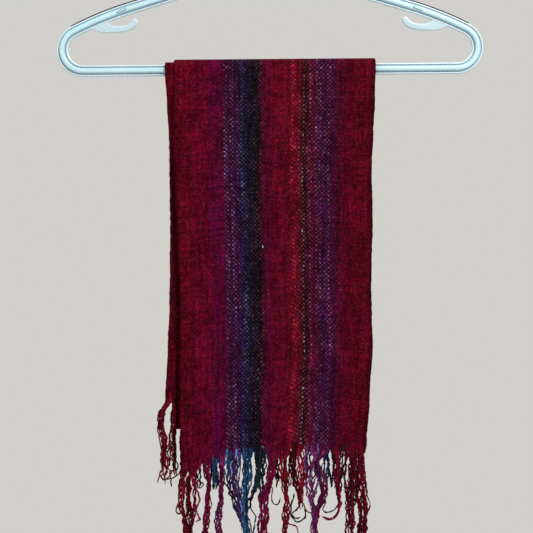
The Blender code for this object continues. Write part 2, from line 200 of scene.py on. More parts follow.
@dataclass(frozen=True)
class Edges:
    """Side edges of a stretch, as (drop below the middle of the bar, left x, right x) rows."""

    rows: Rows
    drawn_in: float = 0.005  # share by which the weave pulls each edge in

    def left(self, drop: Array | float) -> Array:
        """The left edge's x."""
        drops, lefts, _ = zip(*self.rows)
        return Table(drops, lefts).at(drop)

    def right(self, drop: Array | float) -> Array:
        """The right edge's x."""
        drops, _, rights = zip(*self.rows)
        return Table(drops, rights).at(drop)

    def across(self, drop: Array | float, share: Array | float) -> Array:
        """The x of a share of the width."""
        left = self.left(drop)
        return left + (self.right(drop) - left) * (self.drawn_in + (1 - 2 * self.drawn_in) * share)


# Meshes


@dataclass
class Shell:
    """Vertices and faces of a piece as it is being made, with its maps and its yarns' colours."""

    points: list[Sequence[float]] = field(default_factory=list)
    faces: list[Sequence[int]] = field(default_factory=list)
    normals: list[Sequence[float]] = field(default_factory=list)
    flat: list[Sequence[float]] = field(default_factory=list)
    cloth: list[Sequence[float]] = field(default_factory=list)
    colours: list[Colour] = field(default_factory=list)
    shares: list[float] = field(default_factory=list)

    def skin(self, rings: int, count: int, closed: bool = False) -> None:
        """Joins the last rings of points with quads.

        Args:
            rings: How many rings there are.
            count: How many points each has.
            closed: Whether the last ring joins the first, and not a cap at each end.
        """
        start = len(self.points) - rings * count
        for ring in range(rings if closed else rings - 1):
            low, up = start + ring * count, start + (ring + 1) % rings * count
            for index in range(count):
                after = (index + 1) % count
                self.faces.append((low + index, low + after, up + after, up + index))
        if not closed:
            self.faces.append(tuple(range(start, start + count))[::-1])
            self.faces.append(tuple(range(len(self.points) - count, len(self.points))))

    def _turn_outward(self) -> None:
        """Turns the faces of a closed shell round where they point in."""
        volume = 0.0
        for face in self.faces:
            first, *others = (Vector(self.points[corner]) for corner in face)
            volume += sum(first.dot(second.cross(third)) for second, third in zip(others, others[1:]))
        if volume < 0:
            self.faces = [face[::-1] for face in self.faces]

    def make(self, name: str, finish: Material, sharp: float | None = None) -> Piece:
        """Turns what has been gathered into an object.

        Args:
            name: Name of the piece.
            finish: Its material.
            sharp: Angle in degrees past which an edge stays sharp, where no normals were gathered.

        Returns:
            The linked object.
        """
        if sharp is not None:
            self._turn_outward()
        mesh = bpy.data.meshes.new(name)
        mesh.from_pydata(self.points, [], self.faces)
        mesh.shade_smooth()
        for title, rows in ((BAKE_MAP, self.flat), (CLOTH_MAP, self.cloth)):
            if rows:
                layer = mesh.uv_layers.new(name=title)
                layer.data.foreach_set("uv", np.array(rows, dtype=np.float32).ravel())
        if self.colours:
            dyed = mesh.color_attributes.new(YARN_DYE, "FLOAT_COLOR", "POINT")
            rows = np.ones((len(self.points), 4), dtype=np.float32)
            rows[:, :3] = self.colours
            dyed.data.foreach_set("color", rows.ravel())
        if self.shares:
            mesh.attributes.new(RIM_SHARE, "FLOAT", "POINT").data.foreach_set("value", self.shares)
        mesh.update()
        if self.normals:
            mesh.normals_split_custom_set(self.normals)
        elif sharp is not None:
            mesh.set_sharp_from_angle(angle=math.radians(sharp))
        mesh.materials.append(finish)
        piece = bpy.data.objects.new(name, mesh)
        bpy.context.scene.collection.objects.link(piece)
        return piece


def settle(piece: Piece, slot: Slot, *nodes: str) -> Piece:
    """Fixes a piece to the frame.

    Args:
        piece: The piece.
        slot: Material slot for the piece; not used.
        *nodes: CAD nodes that it stands for.

    Returns:
        The piece.
    """
    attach(piece, BODY)
    if nodes:
        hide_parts(*nodes)
    log.info("%s: %d faces", piece.name, len(piece.data.polygons))
    return piece


# Finishes


class Graph:
    """The nodes of one material, added with short calls."""

    def __init__(self, name: str) -> None:
        """Starts a material with its shader."""
        self.material = bpy.data.materials.new(name)
        self.material.use_nodes = True
        self.tree = self.material.node_tree
        self.shader = self.tree.nodes["Principled BSDF"]

    def put(self, socket: Socket, value: Value) -> None:
        """Links a socket, or sets it where the value is a constant."""
        if isinstance(value, Socket):
            self.tree.links.new(value, socket)
        else:
            socket.default_value = value

    def dress(self, **values: Value) -> None:
        """Sets the shader's inputs, with underscores for the spaces in their names."""
        for name, value in values.items():
            self.put(self.shader.inputs[name.replace("_", " ")], value)

    def node(self, kind: str, inputs: dict[int | str, Value], **settings: str) -> bpy.types.Node:
        """Adds a node.

        Args:
            kind: Blender's name of its kind.
            inputs: Values by the inputs' numbers or names.
            **settings: The node's own settings.

        Returns:
            The node.
        """
        node = self.tree.nodes.new("ShaderNode" + kind)
        for name, setting in settings.items():
            setattr(node, name, setting)
        for key, value in inputs.items():
            self.put(node.inputs[key], value)
        return node

    def sum(self, operation: str, *values: Value) -> Socket:
        """One arithmetic step, by Blender's name of it."""
        return self.node("Math", dict(enumerate(values)), operation=operation).outputs[0]

    def product(self, *values: Value) -> Socket:
        """All the values multiplied."""
        result, *others = values
        for value in others:
            result = self.sum("MULTIPLY", result, value)
        return result

    def centred(self, value: Value) -> Socket:
        """A value from 0 to 1, less a half."""
        return self.sum("SUBTRACT", value, 0.5)

    def vector(self, *parts: Value) -> Socket:
        """Joins up to three numbers into a vector."""
        return self.node("CombineXYZ", dict(enumerate(parts))).outputs[0]

    def split(self, vector: Socket) -> Sequence[Socket]:
        """The three parts of a vector."""
        return self.node("SeparateXYZ", {0: vector}).outputs

    def object_place(self) -> Socket:
        """Place on the object, in metres."""
        return self.node("TexCoord", {}).outputs["Object"]

    def blend(self, share: Value, *colours: Socket | Colour) -> Socket:
        """Mixes two colours by the share of the second."""
        low, high = (colour if isinstance(colour, Socket) else (*colour, 1) for colour in colours)
        return self.node("Mix", {0: share, 6: low, 7: high}, data_type="RGBA").outputs[2]

    def shade(self, colour: Socket | Colour, factor: Socket) -> Socket:
        """Makes a colour lighter or darker by a factor."""
        return self.node("VectorMath", {0: colour, "Scale": factor}, operation="SCALE").outputs[0]

    def tint(self, colour: Socket, *factors: Value) -> Socket:
        """Multiplies the three parts of a colour."""
        return self.node("VectorMath", {0: colour, 1: self.vector(*factors)}, operation="MULTIPLY").outputs[0]

    def ramp(self, share: Socket, stops: Sequence[Stop], kind: Interpolation) -> Sequence[Socket]:
        """A colour and a strength that change along a share.

        Args:
            share: From 0 to 1.
            stops: Places, colours and strengths.
            kind: How it goes from stop to stop.

        Returns:
            The colour and the strength.
        """
        node = self.node("ValToRGB", {0: share})
        node.color_ramp.interpolation = kind.value
        elements = node.color_ramp.elements
        while len(elements) < len(stops):
            elements.new(1.0)
        for element, (place, colour, strength) in zip(elements, stops):
            element.position = place
            element.color = (*colour, strength)
        return node.outputs

    def cloud(
        self, place: Socket | Sequence[Value], scale: float, detail: float = 2.0, roughness: float = 0.5
    ) -> Socket:
        """Soft noise from about 0.2 to 0.8.

        Args:
            place: Where it is read, as a vector or as its parts.
            scale: Waves for each unit.
            detail: How many finer layers it has.
            roughness: How strong they are.

        Returns:
            The noise.
        """
        vector = place if isinstance(place, Socket) else self.vector(*place)
        inputs = {"Vector": vector, "Scale": scale, "Detail": detail, "Roughness": roughness}
        return self.node("TexNoise", inputs).outputs["Fac"]

    def chance(self, *place: Value) -> Socket:
        """A random number for each whole place."""
        return self.node("TexWhiteNoise", {"Vector": self.vector(*place)}).outputs["Value"]

    def stretch(self, value: Socket, low: float, high: float, new_low: float, new_high: float) -> Socket:
        """Moves the range from low to high to a new one, and stops at its ends."""
        return self.node("MapRange", dict(enumerate((value, low, high, new_low, new_high)))).outputs[0]

    def uneven(self, cloud: Socket, amount: float) -> Socket:
        """A factor about 1 from a soft noise."""
        return self.stretch(cloud, 0.3, 0.7, 1 - amount, 1 + amount)

    def relief(self, height: Socket, depth: float, strength: float) -> None:
        """Raises the surface by a height from 0 to 1, which stands for a depth in metres."""
        bump = self.node("Bump", {"Height": height, "Distance": depth, "Strength": strength})
        self.dress(Normal=bump.outputs[0])


@dataclass(frozen=True)
class Stripe:
    """A stripe of the warp: where it ends across the cloth, its ground and its lighter ends on a screen."""

    end: float
    ground: Colour
    ends: Colour
    strength: float


@dataclass(frozen=True)
class Accent:
    """Neighbouring warp ends of another colour: the first, the last, their colour and strength."""

    first: int
    last: int
    colour: Colour
    strength: float


@dataclass(frozen=True)
class WovenFinish:
    """Plain weave in soft chenille, striped along its length."""

    warp_ends: int = 92
    pick: float = 0.00212  # metres between picks
    swallowed: float = 0.66  # share of the light that the pile gives back
    broad: float = 0.0395  # width above which a stripe keeps an even middle
    soft_edge: float = 0.012
    jolt: float = 1.4  # how far single ends and picks waver
    end_drift: float = 0.9  # how far neighbouring ends wander together
    pick_drift: float = 1.3
    dot_across: float = 3.4  # how fast a lighter dot falls off across and along
    dot_along: float = 2.4
    stripes: tuple[Stripe, ...] = (
        Stripe(0.014, (80, 3, 20), (96, 10, 36), 0.30),
        Stripe(0.085, (89, 3, 28), (112, 14, 46), 0.35),
        Stripe(0.165, (92, 3, 32), (114, 16, 52), 0.35),
        Stripe(0.237, (84, 3, 41), (102, 24, 78), 0.45),
        Stripe(0.300, (50, 4, 40), (110, 70, 112), 0.34),
        Stripe(0.324, (38, 6, 42), (96, 80, 116), 0.48),
        Stripe(0.354, (23, 15, 43), (90, 84, 114), 0.62),
        Stripe(0.398, (14, 12, 27), (92, 68, 88), 0.66),
        Stripe(0.436, (12, 4, 11), (104, 58, 66), 0.56),
        Stripe(0.467, (79, 4, 38), (104, 30, 60), 0.42),
        Stripe(0.493, (80, 4, 30), (100, 16, 42), 0.32),
        Stripe(0.552, (93, 5, 32), (118, 18, 46), 0.35),
        Stripe(0.588, (87, 5, 26), (128, 28, 44), 0.44),
        Stripe(0.607, (97, 4, 29), (196, 56, 70), 0.78),
        Stripe(0.638, (82, 5, 25), (138, 66, 82), 0.56),
        Stripe(0.667, (35, 3, 14), (128, 84, 90), 0.42),
        Stripe(0.690, (67, 4, 32), (146, 82, 110), 0.58),
        Stripe(0.704, (71, 4, 33), (114, 44, 76), 0.45),
        Stripe(0.740, (58, 5, 41), (132, 84, 122), 0.53),
        Stripe(0.790, (52, 5, 40), (120, 76, 114), 0.54),
        Stripe(0.829, (64, 4, 36), (96, 38, 70), 0.45),
        Stripe(0.852, (71, 4, 29), (112, 38, 62), 0.45),
        Stripe(0.985, (84, 3, 25), (106, 18, 38), 0.35),
        # The last stripe is darker as painted shade where the right edge turns back
        Stripe(1.0, (62, 2, 12), (80, 8, 22), 0.30),
    )
    accents: tuple[Accent, ...] = (
        Accent(17, 17, (60, 24, 78), 0.40),
        Accent(19, 19, (60, 22, 74), 0.35),
        Accent(22, 23, (134, 106, 142), 0.50),
        Accent(25, 26, (134, 104, 144), 0.54),
        Accent(28, 28, (112, 92, 132), 0.50),
        Accent(30, 31, (88, 98, 136), 0.55),
        Accent(34, 34, (84, 74, 84), 0.50),
        Accent(38, 39, (104, 70, 74), 0.50),
        Accent(54, 54, (206, 54, 66), 0.78),
        Accent(57, 58, (140, 70, 82), 0.55),
        Accent(59, 59, (150, 128, 128), 0.58),
        Accent(62, 62, (156, 98, 120), 0.62),
        Accent(65, 65, (150, 94, 126), 0.58),
        Accent(67, 67, (116, 90, 134), 0.58),
        Accent(71, 71, (136, 94, 132), 0.60),
    )

    def _stops(self, lighter: bool) -> list[Stop]:
        """A stop in the middle of each narrow stripe and two in each broad one.

        Args:
            lighter: Whether the colour is that of the lighter ends and not the ground.

        Returns:
            Places, colours and strengths.
        """
        stops, start = [], 0.0
        for stripe in self.stripes:
            broad = stripe.end - start > self.broad
            even = (start + self.soft_edge, stripe.end - self.soft_edge)
            colour = paint(*(stripe.ends if lighter else stripe.ground))
            places = even if broad else ((start + stripe.end) / 2,)
            stops += [(place, colour, stripe.strength) for place in places]
            start = stripe.end
        return stops

    def _accent_stops(self) -> list[Stop]:
        """Stops that switch the accents on and off from end to end."""
        stops = [(0.0, paint(*self.accents[0].colour), 0.0)]
        for accent in self.accents:
            for end, strength in ((accent.first, accent.strength), (accent.last + 1, 0.0)):
                stops.append((end / self.warp_ends, paint(*accent.colour), strength))
        return stops

    def material(self) -> Material:
        """Builds the weave's nodes.

        Returns:
            The material.
        """
        g = Graph("woven_chenille")
        across, along, _ = g.split(g.node("UVMap", {}, uv_map=CLOTH_MAP).outputs[0])
        drift = g.centred(g.cloud((across, along), 0.06, 1.0))
        wander = g.cloud((across, along, 70.0), 0.045, 1.0)
        jolt, slip = (g.centred(g.cloud((across, along, seed), 0.8, 1.0)) for seed in (40.0, 55.0))
        across_end = g.sum("MULTIPLY_ADD", jolt, self.jolt, g.sum("MULTIPLY_ADD", drift, self.end_drift, across))
        drifted = g.sum("MULTIPLY_ADD", wander, self.pick_drift, along)
        along_pick = g.sum("MULTIPLY_ADD", slip, self.jolt, drifted)
        end, pick = (g.sum("FLOOR", place) for place in (across_end, along_pick))
        beside, above = (g.centred(g.sum("FRACT", place)) for place in (across_end, along_pick))
        away = g.sum("ADD", g.product(beside, beside, self.dot_across), g.product(above, above, self.dot_along))
        crown = g.sum("MAXIMUM", g.sum("SUBTRACT", 1.0, away), 0.0)
        over = g.sum("SUBTRACT", 1.0, g.sum("FLOORED_MODULO", g.sum("ADD", end, pick), 2.0))
        column, luck, knot = g.chance(end, 7.0, 11.0), g.chance(end, pick, 3.0), g.chance(end, pick, 8.0)
        # The two kinds of yarn, which lie over each other by turns
        dye = g.cloud((g.product(end, 3.7), g.product(along, 0.06), 5.0), 1.0, 1.0)
        strayed = g.sum("MULTIPLY_ADD", g.centred(dye), 3.0, g.sum("MULTIPLY_ADD", drift, 1.2, across))
        ground, _ = g.ramp(g.sum("DIVIDE", strayed, self.warp_ends), self._stops(False), Interpolation.STRAIGHT)
        middle = g.sum("DIVIDE", g.sum("ADD", end, 0.5), self.warp_ends)
        lighter, strength = g.ramp(middle, self._stops(True), Interpolation.STRAIGHT)
        accent, accent_strength = g.ramp(middle, self._accent_stops(), Interpolation.STEPPED)
        thread = g.blend(g.sum("GREATER_THAN", accent_strength, 0.0), lighter, accent)
        quiet = g.product(strength, g.stretch(column, 0.0, 1.0, 0.45, 1.15))
        power = g.sum("MAXIMUM", quiet, accent_strength)
        chance = g.stretch(luck, 0.05, 1.0, 0.18, 1.16)
        mood = g.cloud((across, g.product(along, 0.5), 33.0), 0.07, 1.0)
        dot = g.product(crown, over, chance, g.uneven(dye, 0.30), g.uneven(mood, 0.42), power)
        woven = g.blend(g.sum("MINIMUM", dot, 1.0), ground, thread)
        hue = g.cloud((across, g.product(along, 0.6), 4.0), 0.2)
        bluer = g.product(g.uneven(hue, 0.26), g.stretch(along, 0.0, 150.0, 1.16, 0.98))
        # Light and dark in uneven patches, blots and streaks down to the pile, with painted shade between the
        # picks
        pile = g.cloud((across, along, 2.0), 1.2, 2.0, 0.7)
        shades = (
            (g.cloud((across, g.product(along, 0.6)), 0.13, 2.0, 0.6), 0.27),
            (g.cloud((across, along, 21.0), 0.42, 1.0), 0.22),
            (g.cloud((g.product(across, 0.6), g.product(along, 0.03), 9.0), 1.0), 0.28),
            (dye, 0.22),
            (g.cloud((g.product(across, 0.07), g.product(pick, 3.7), 6.0), 1.0, 1.0), 0.26),
            (pile, 0.27),
        )
        light = g.product(
            *(g.uneven(cloud, amount) for cloud, amount in shades),
            g.stretch(knot, 0.0, 1.0, 0.78, 1.22),
            # Painted shade: each pick is lighter in its middle and darker where it meets the next, as light
            # falls on round yarns
            g.stretch(g.product(above, above), 0.0, 0.25, 1.15, 0.66),
            self.swallowed,
        )
        # Painted highlight: whitish glints on the pile's tips, blended into the base colour in place of a
        # specular gloss
        painted_pile_glints = g.stretch(pile, 0.48, 0.80, 0.0, 0.009)
        g.dress(
            Base_Color=g.blend(painted_pile_glints, g.shade(g.tint(woven, 1.0, 1.0, bluer), light), (0.95, 0.90, 1.0)),
            Roughness=g.stretch(pile, 0.25, 0.75, 0.84, 0.98),
            Specular_IOR_Level=0.01,
            Sheen_Weight=0.06,
            Sheen_Roughness=0.5,
            Sheen_Tint=(0.85, 0.12, 0.28, 1.0),
        )
        height = g.sum("MULTIPLY_ADD", crown, g.stretch(over, 0.0, 1.0, 0.35, 0.8), g.product(pile, 0.6))
        g.relief(height, 0.0006, 0.8)
        return g.material


@dataclass(frozen=True)
class YarnFinish:
    """Crimped chenille yarn in the colour of each strand, with a soft pile."""

    tint: tuple[float, ...] = (0.80, 0.25, 0.45, 1.0)  # of its sheen

    def material(self) -> Material:
        """Builds the yarn's nodes.

        Returns:
            The material.
        """
        g = Graph("fringe_yarn")
        place = g.object_place()
        pile, tufts = g.cloud(place, 1300.0, 2.0, 0.7), g.cloud(place, 480.0, 2.0, 0.6)
        light = g.product(g.uneven(pile, 0.55), g.uneven(tufts, 0.60), g.uneven(g.cloud(place, 110.0), 0.45))
        g.dress(
            Base_Color=g.shade(g.node("VertexColor", {}, layer_name=YARN_DYE).outputs["Color"], light),
            Roughness=g.stretch(pile, 0.25, 0.75, 0.78, 0.95),
            Specular_IOR_Level=0.03,
            Sheen_Weight=0.08,
            Sheen_Roughness=0.5,
            Sheen_Tint=self.tint,
        )
        g.relief(g.sum("ADD", pile, tufts), 0.0004, 0.8)
        return g.material


@dataclass(frozen=True)
class PlasticFinish:
    """Smooth pale blue plastic, with light and shade painted across its section: a painted highlight on the
    rims, painted shade in the grooves and a painted dark line at the very edge.
    """

    core: Colour = (0.45, 0.66, 0.72)
    # Painted light and shade across the section: the side and groove colours are painted shade towards the
    # grooves, line is a painted dark edge line and rim is a painted highlight on the flanges
    side: Colour = (0.34, 0.52, 0.61)
    groove_shade: Colour = (0.29, 0.43, 0.52)
    line: Colour = (0.13, 0.20, 0.24)
    rim: Colour = (0.52, 0.66, 0.72)

    def material(self) -> Material:
        """Builds the plastic's nodes.

        Returns:
            The material.
        """
        g = Graph("hanger_plastic_moulded")
        place = g.object_place()
        flow, scuff = g.cloud(place, 22.0, 3.0), g.cloud(place, 420.0, 3.0, 0.65)
        places = (0.0, 0.20, 0.42, 0.53, 0.64, 0.70, 0.995, 1.0)
        colours = (self.core, self.core, self.side, self.groove_shade, self.groove_shade, self.rim, self.rim, self.line)
        rim = g.node("Attribute", {}, attribute_name=RIM_SHARE).outputs["Fac"]
        # The band paints shade into the grooves and a highlight onto the rims by each point's place on the
        # section
        colour, _ = g.ramp(rim, [(*stop, 1.0) for stop in zip(places, colours)], Interpolation.STRAIGHT)
        g.dress(
            Base_Color=g.shade(colour, g.uneven(flow, 0.05)),
            Roughness=g.stretch(scuff, 0.3, 0.7, 0.24, 0.40),
            Coat_Weight=0.2,
            Coat_Roughness=0.2,
            Subsurface_Weight=0.08,
            Subsurface_Radius=(0.5, 0.9, 1.0),
            Subsurface_Scale=0.002,
        )
        g.relief(g.sum("MULTIPLY_ADD", scuff, 0.25, flow), 0.0002, 0.25)
        return g.material


@dataclass(frozen=True)
class RubberFinish:
    """Dull dark rubber of the grip strips, with fine cross ribs."""

    colour: Colour = (0.020, 0.022, 0.024)
    rib: float = 0.0018  # metres from rib to rib

    def material(self) -> Material:
        """Builds the rubber's nodes.

        Returns:
            The material.
        """
        g = Graph("grip_rubber")
        place = g.object_place()
        dust = g.cloud(place, 260.0, 3.0, 0.6)
        rib = g.sum("SINE", g.product(g.split(place)[0], 2 * math.pi / self.rib))
        g.dress(
            Base_Color=g.shade(self.colour, g.stretch(dust, 0.3, 0.7, 0.7, 1.6)),
            Roughness=g.stretch(dust, 0.3, 0.7, 0.7, 0.92),
            Specular_IOR_Level=0.3,
        )
        g.relief(g.sum("MULTIPLY_ADD", rib, 0.4, dust), 0.0002, 0.6)
        return g.material


@dataclass(frozen=True)
class FloorFinish:
    """Plain pale floor."""

    colour: Colour = (0.70, 0.68, 0.65)

    def material(self) -> Material:
        """Builds the floor's nodes.

        Returns:
            The material.
        """
        g = Graph("studio_floor")
        tone = g.cloud(g.object_place(), 1.3, 3.0)
        g.dress(Base_Color=g.shade(self.colour, g.stretch(tone, 0.3, 0.7, 0.98, 1.02)), Roughness=0.85)
        return g.material


# Hanger


@dataclass(frozen=True)
class Station:
    """A place on a path in the hanger's plane, and the way that the path goes there."""

    x: float
    z: float
    heading: float

    def ahead(self, length: float) -> Station:
        """The station a length further on."""
        x = self.x + length * math.cos(self.heading)
        return Station(x, self.z + length * math.sin(self.heading), self.heading)

    def run(self, length: float, steps: int) -> list[Station]:
        """The stations of a straight run after this one."""
        return [self.ahead(length * step / steps) for step in range(1, steps + 1)]

    def bend(self, radius: float, turn: float, steps: int) -> list[Station]:
        """Goes round an arc.

        Args:
            radius: Radius of the arc.
            turn: Angle in radians, positive to the left.
            steps: How many steps it has.

        Returns:
            The stations after this one.
        """
        side = math.copysign(radius, turn)
        centre_x = self.x - side * math.sin(self.heading)
        centre_z = self.z + side * math.cos(self.heading)
        headings = [self.heading + turn * step / steps for step in range(1, steps + 1)]
        return [
            Station(centre_x + side * math.sin(way), centre_z - side * math.cos(way), way)
            for way in headings
        ]

    def beside(self, distance: float) -> Station:
        """The station a distance to the right of the path."""
        x = self.x + distance * math.sin(self.heading)
        return Station(x, self.z - distance * math.cos(self.heading), self.heading)

    def mirrored(self) -> Station:
        """The same station on the other side of the hanger."""
        return Station(-self.x, self.z, math.pi - self.heading)

    def returning(self) -> Station:
        """The same station on the other side, on a path that goes on and comes back there."""
        return Station(-self.x, self.z, -self.heading)


def round_section(width: float, points: int) -> list[tuple[float, float]]:
    """A round outline of a width, with so many points."""
    turns = [2 * math.pi * index / points for index in range(points)]
    return [(width / 2 * math.cos(turn), width / 2 * math.sin(turn)) for turn in turns]


@dataclass
class Hanger:
    """Moulded hanger: one closed frame, a neck bar, a hook, strap hooks and grip strips."""

    finish: Material
    rubber: Material
    width: float = 0.420
    bar_drop: float = 0.222
    tube_height: float = 0.0112
    tube_depth: float = 0.0088
    flange_depth: float = 0.0050
    # Outline of the tube, as shares of half its height and half the flange's or the core's depth
    flange_shape: Rows = (
        (1.0, 0.0), (0.992, 0.34), (0.965, 0.66), (0.920, 0.88), (0.850, 0.99),
        (0.760, 1.0), (0.710, 0.94), (0.670, 0.68), (0.610, 0.58), (0.550, 0.70),
    )
    core_shape: Rows = ((0.515, 0.60), (0.455, 0.79), (0.360, 0.91), (0.200, 0.98), (0.0, 1.0))
    end_radius: float = 0.0205
    shoulder_slope: float = math.radians(27)
    shoulder_run: float = 0.060
    arm_slope: float = math.radians(16.8)
    crown_radius: float = 0.060
    crown_slope: float = math.radians(55)
    crown_foot_radius: float = 0.016
    crown_thickening: float = 1.22
    bar_steps: int = 24
    end_steps: int = 28
    arch_steps: int = 14
    foot_steps: int = 8
    neck_bar_z: float = -0.1340
    neck_bar_height: float = 0.0040
    hook_rod: float = 0.0070
    hook_nose: Rows = ((0.16, 0.95), (0.30, 0.80), (0.40, 0.60), (0.47, 0.30))
    hook_inner_radius: float = 0.019
    hook_tip_angle: float = math.radians(205)
    hook_join_angle: float = math.radians(-50)
    stem_offset: float = 0.009
    collar_height: float = 0.016
    collar_half_length: float = 0.017
    collar_half_depth: float = 0.0048
    collar_flare: float = 2.2
    grip_height: float = 0.0012
    grip_depth: float = 0.0030
    grip_run: float = 0.075
    grip_shape: Rows = (
        (1, 0), (1, 0.55), (0.85, 0.85), (0.3, 1), (-0.8, 1), (-1.4, 0.95),
        (-1.4, -0.95), (-0.8, -1), (0.3, -1), (0.85, -0.85), (1, -0.55),
    )
    grip_taper: tuple[float, ...] = (0.55, 0.85, 1.0)
    strap_root_x: float = 0.1755
    strap_leave_x: float = 0.1600
    strap_edge: Rows = (
        (0.1560, -0.1776), (0.1504, -0.1781), (0.1447, -0.1777), (0.1405, -0.1766), (0.1370, -0.1742),
        (0.1356, -0.1725), (0.1341, -0.1711), (0.1322, -0.1711), (0.1306, -0.1728), (0.1310, -0.1760),
        (0.1342, -0.1799), (0.1392, -0.1826), (0.1448, -0.1838), (0.1519, -0.1845), (0.1603, -0.1845),
        (0.1673, -0.1836), (0.1725, -0.1815),
    )
    strap_depth: float = 0.0048
    strap_round: float = 0.0011
    strap_root_round: float = 0.25  # share of the rounding that is left at the root
    # Rows of inset, depth and band place: the face takes a painted darker shade between groove and rim, the
    # rounded edges the rim's painted highlight
    strap_rows: Rows = ((1.0, 1.0, 0.675), (0.55, 0.96, 0.675), (0.22, 0.82, 0.9), (0.0, 0.5, 0.9))
    mark_x: float = 0.1455
    mark_length: float = 0.0103
    mark_height: float = 0.0024
    mark_points: int = 24
    # The rows' last column is the place on the colour band; the ring at 2.0 takes the dark line colour, a
    # painted shadow round the boss's edge
    mark_rows: Rows = (
        (1.0, 0.0038, 0.6), (1.0, 0.00455, 2.0), (0.55, 0.00457, 2.0), (0.45, 0.0047, 0.2), (0.25, 0.0048, 0.2),
    )
    sunk: float = 0.0006  # how deep a joined part starts inside its neighbour
    lap: float = 0.0002  # how far the stem starts inside the collar
    plain: float = 0.3  # place of a plain part's colour on the section's band
    arm_foot_z: float = -0.2  # above it the half path goes inwards only

    def __post_init__(self) -> None:
        """Works out the frame's path and the top of the arch."""
        self.half = self._half_path()
        self.apex = self.half[-1].z
        self.crown_half = self.tube_height / 2 * self.crown_thickening

    def _half_path(self) -> list[Station]:
        """From the middle of the bar round the right end and up the arm to the middle of the arch.

        Returns:
            The stations.
        """
        middle = Station(0.0, -self.bar_drop, 0.0)
        path = [middle, *middle.run(self.width / 2 - self.tube_height / 2 - self.end_radius, self.bar_steps)]
        path += path[-1].bend(self.end_radius, math.pi - self.shoulder_slope, self.end_steps)
        turn = self.shoulder_slope - self.arm_slope
        path += path[-1].bend(self.shoulder_run / turn, turn, 10)
        steep, level = math.sin(self.crown_slope), math.sin(self.arm_slope)
        foot = self.crown_radius * steep + self.crown_foot_radius * (steep - level)
        path += path[-1].run((path[-1].x - foot) / math.cos(self.arm_slope), 14)
        path += path[-1].bend(self.crown_foot_radius, self.arm_slope - self.crown_slope, self.foot_steps)
        path += path[-1].bend(self.crown_radius, self.crown_slope, self.arch_steps)
        return path

    def _sweep(
        self,
        stations: Sequence[Station],
        section: Sequence[tuple[float, float]],
        scales: Sequence[float] | None = None,
        closed: bool = False,
        share: float | None = None,
    ) -> Shell:
        """Carries a section along stations.

        Args:
            stations: The path.
            section: Outline, as (sideways, depth) points.
            scales: Size of the section at each station.
            closed: Whether the path comes back to its start.
            share: Place of its colour on the section's band, where it is one colour.

        Returns:
            The swept shell, with each point's share of the section's height.
        """
        high = max(side for side, _ in section)
        shell = Shell()
        for at, scale in zip(stations, scales or [1.0] * len(stations)):
            for side, depth in section:
                x = at.x - math.sin(at.heading) * side * scale
                z = at.z + math.cos(at.heading) * side * scale
                shell.points.append((x, depth * scale, z))
                shell.shares.append(min(abs(side) / high, 0.99) if share is None else share)
        shell.skin(len(stations), len(section), closed)
        return shell

    def _frame(self) -> None:
        """The closed loop of bar, ends, arms and arch."""
        high, core, flange = self.tube_height / 2, self.tube_depth / 2, self.flange_depth / 2
        quarter = [(high * side, flange * depth) for side, depth in self.flange_shape]
        quarter += [(high * side, core * depth) for side, depth in self.core_shape]
        upper = quarter + [(-side, depth) for side, depth in reversed(quarter[:-1])]
        section = upper + [(side, -depth) for side, depth in reversed(upper[1:-1])]
        path = self.half + [at.returning() for at in reversed(self.half[1:-1])]
        foot = self.half[-1 - self.arch_steps - self.foot_steps].z
        risen = [2 * (at.z - foot) / (self.apex - foot) - 1 for at in path]
        scales = [1 + (self.crown_thickening - 1) * float(ease(share)) for share in risen]
        shell = self._sweep(path, section, scales, closed=True)
        nodes = ("bar", "left_end", "right_end", "left_arm", "right_arm", "crown")
        settle(shell.make("hanger_frame", self.finish, 60), Slot.HANGER, *nodes)

    def _hook(self) -> None:
        """Stem and circle of the hook in one, with the flare at its foot."""
        radius = self.hook_inner_radius + self.hook_rod / 2
        sway = -self.hook_join_angle
        sway_radius = (radius * math.cos(sway) - self.stem_offset) / (1 - math.cos(sway))
        sway_z = -self.hook_inner_radius - (radius + sway_radius) * math.sin(sway)
        top = self.apex + self.crown_half + self.collar_height
        foot = Station(-self.stem_offset, top - self.lap, math.pi / 2)
        path = [foot, *foot.run(sway_z - foot.z, 4)]
        path += path[-1].bend(sway_radius, sway, 12)
        path += path[-1].bend(radius, self.hook_join_angle - self.hook_tip_angle, 56)
        scales = [1.0] * len(path) + [scale for _, scale in self.hook_nose]
        path += [path[-1].ahead(self.hook_rod * length) for length, _ in self.hook_nose]
        shell = self._sweep(path, round_section(self.hook_rod, 24), scales, share=self.plain)
        settle(shell.make("hanger_hook", self.finish, 50), Slot.HANGER, "hook_stem", "hook_bend")
        self._collar(top)

    def _collar(self, top: float) -> None:
        """The flare that spreads the stem's foot along the arch.

        Args:
            top: Height at which it becomes the stem.
        """
        outside = self.crown_radius + self.crown_half - self.sunk
        shell, steps, count, rod = Shell(), 14, 28, self.hook_rod / 2
        for step in range(steps + 1):
            share = step / steps
            spread = (1 - share) ** self.collar_flare
            length = rod + (self.collar_half_length - rod) * spread
            depth = rod + (self.collar_half_depth - rod) * spread
            for index in range(count):
                turn = 2 * math.pi * index / count
                x = -self.stem_offset + length * math.cos(turn)
                arch = self.apex - self.crown_radius + math.sqrt(outside**2 - x**2)
                shell.points.append((x, depth * math.sin(turn), arch + (top - arch) * share))
        shell.shares = [self.plain] * len(shell.points)
        shell.skin(steps + 1, count)
        settle(shell.make("hanger_collar", self.finish, 50), Slot.HANGER, "hook_collar")

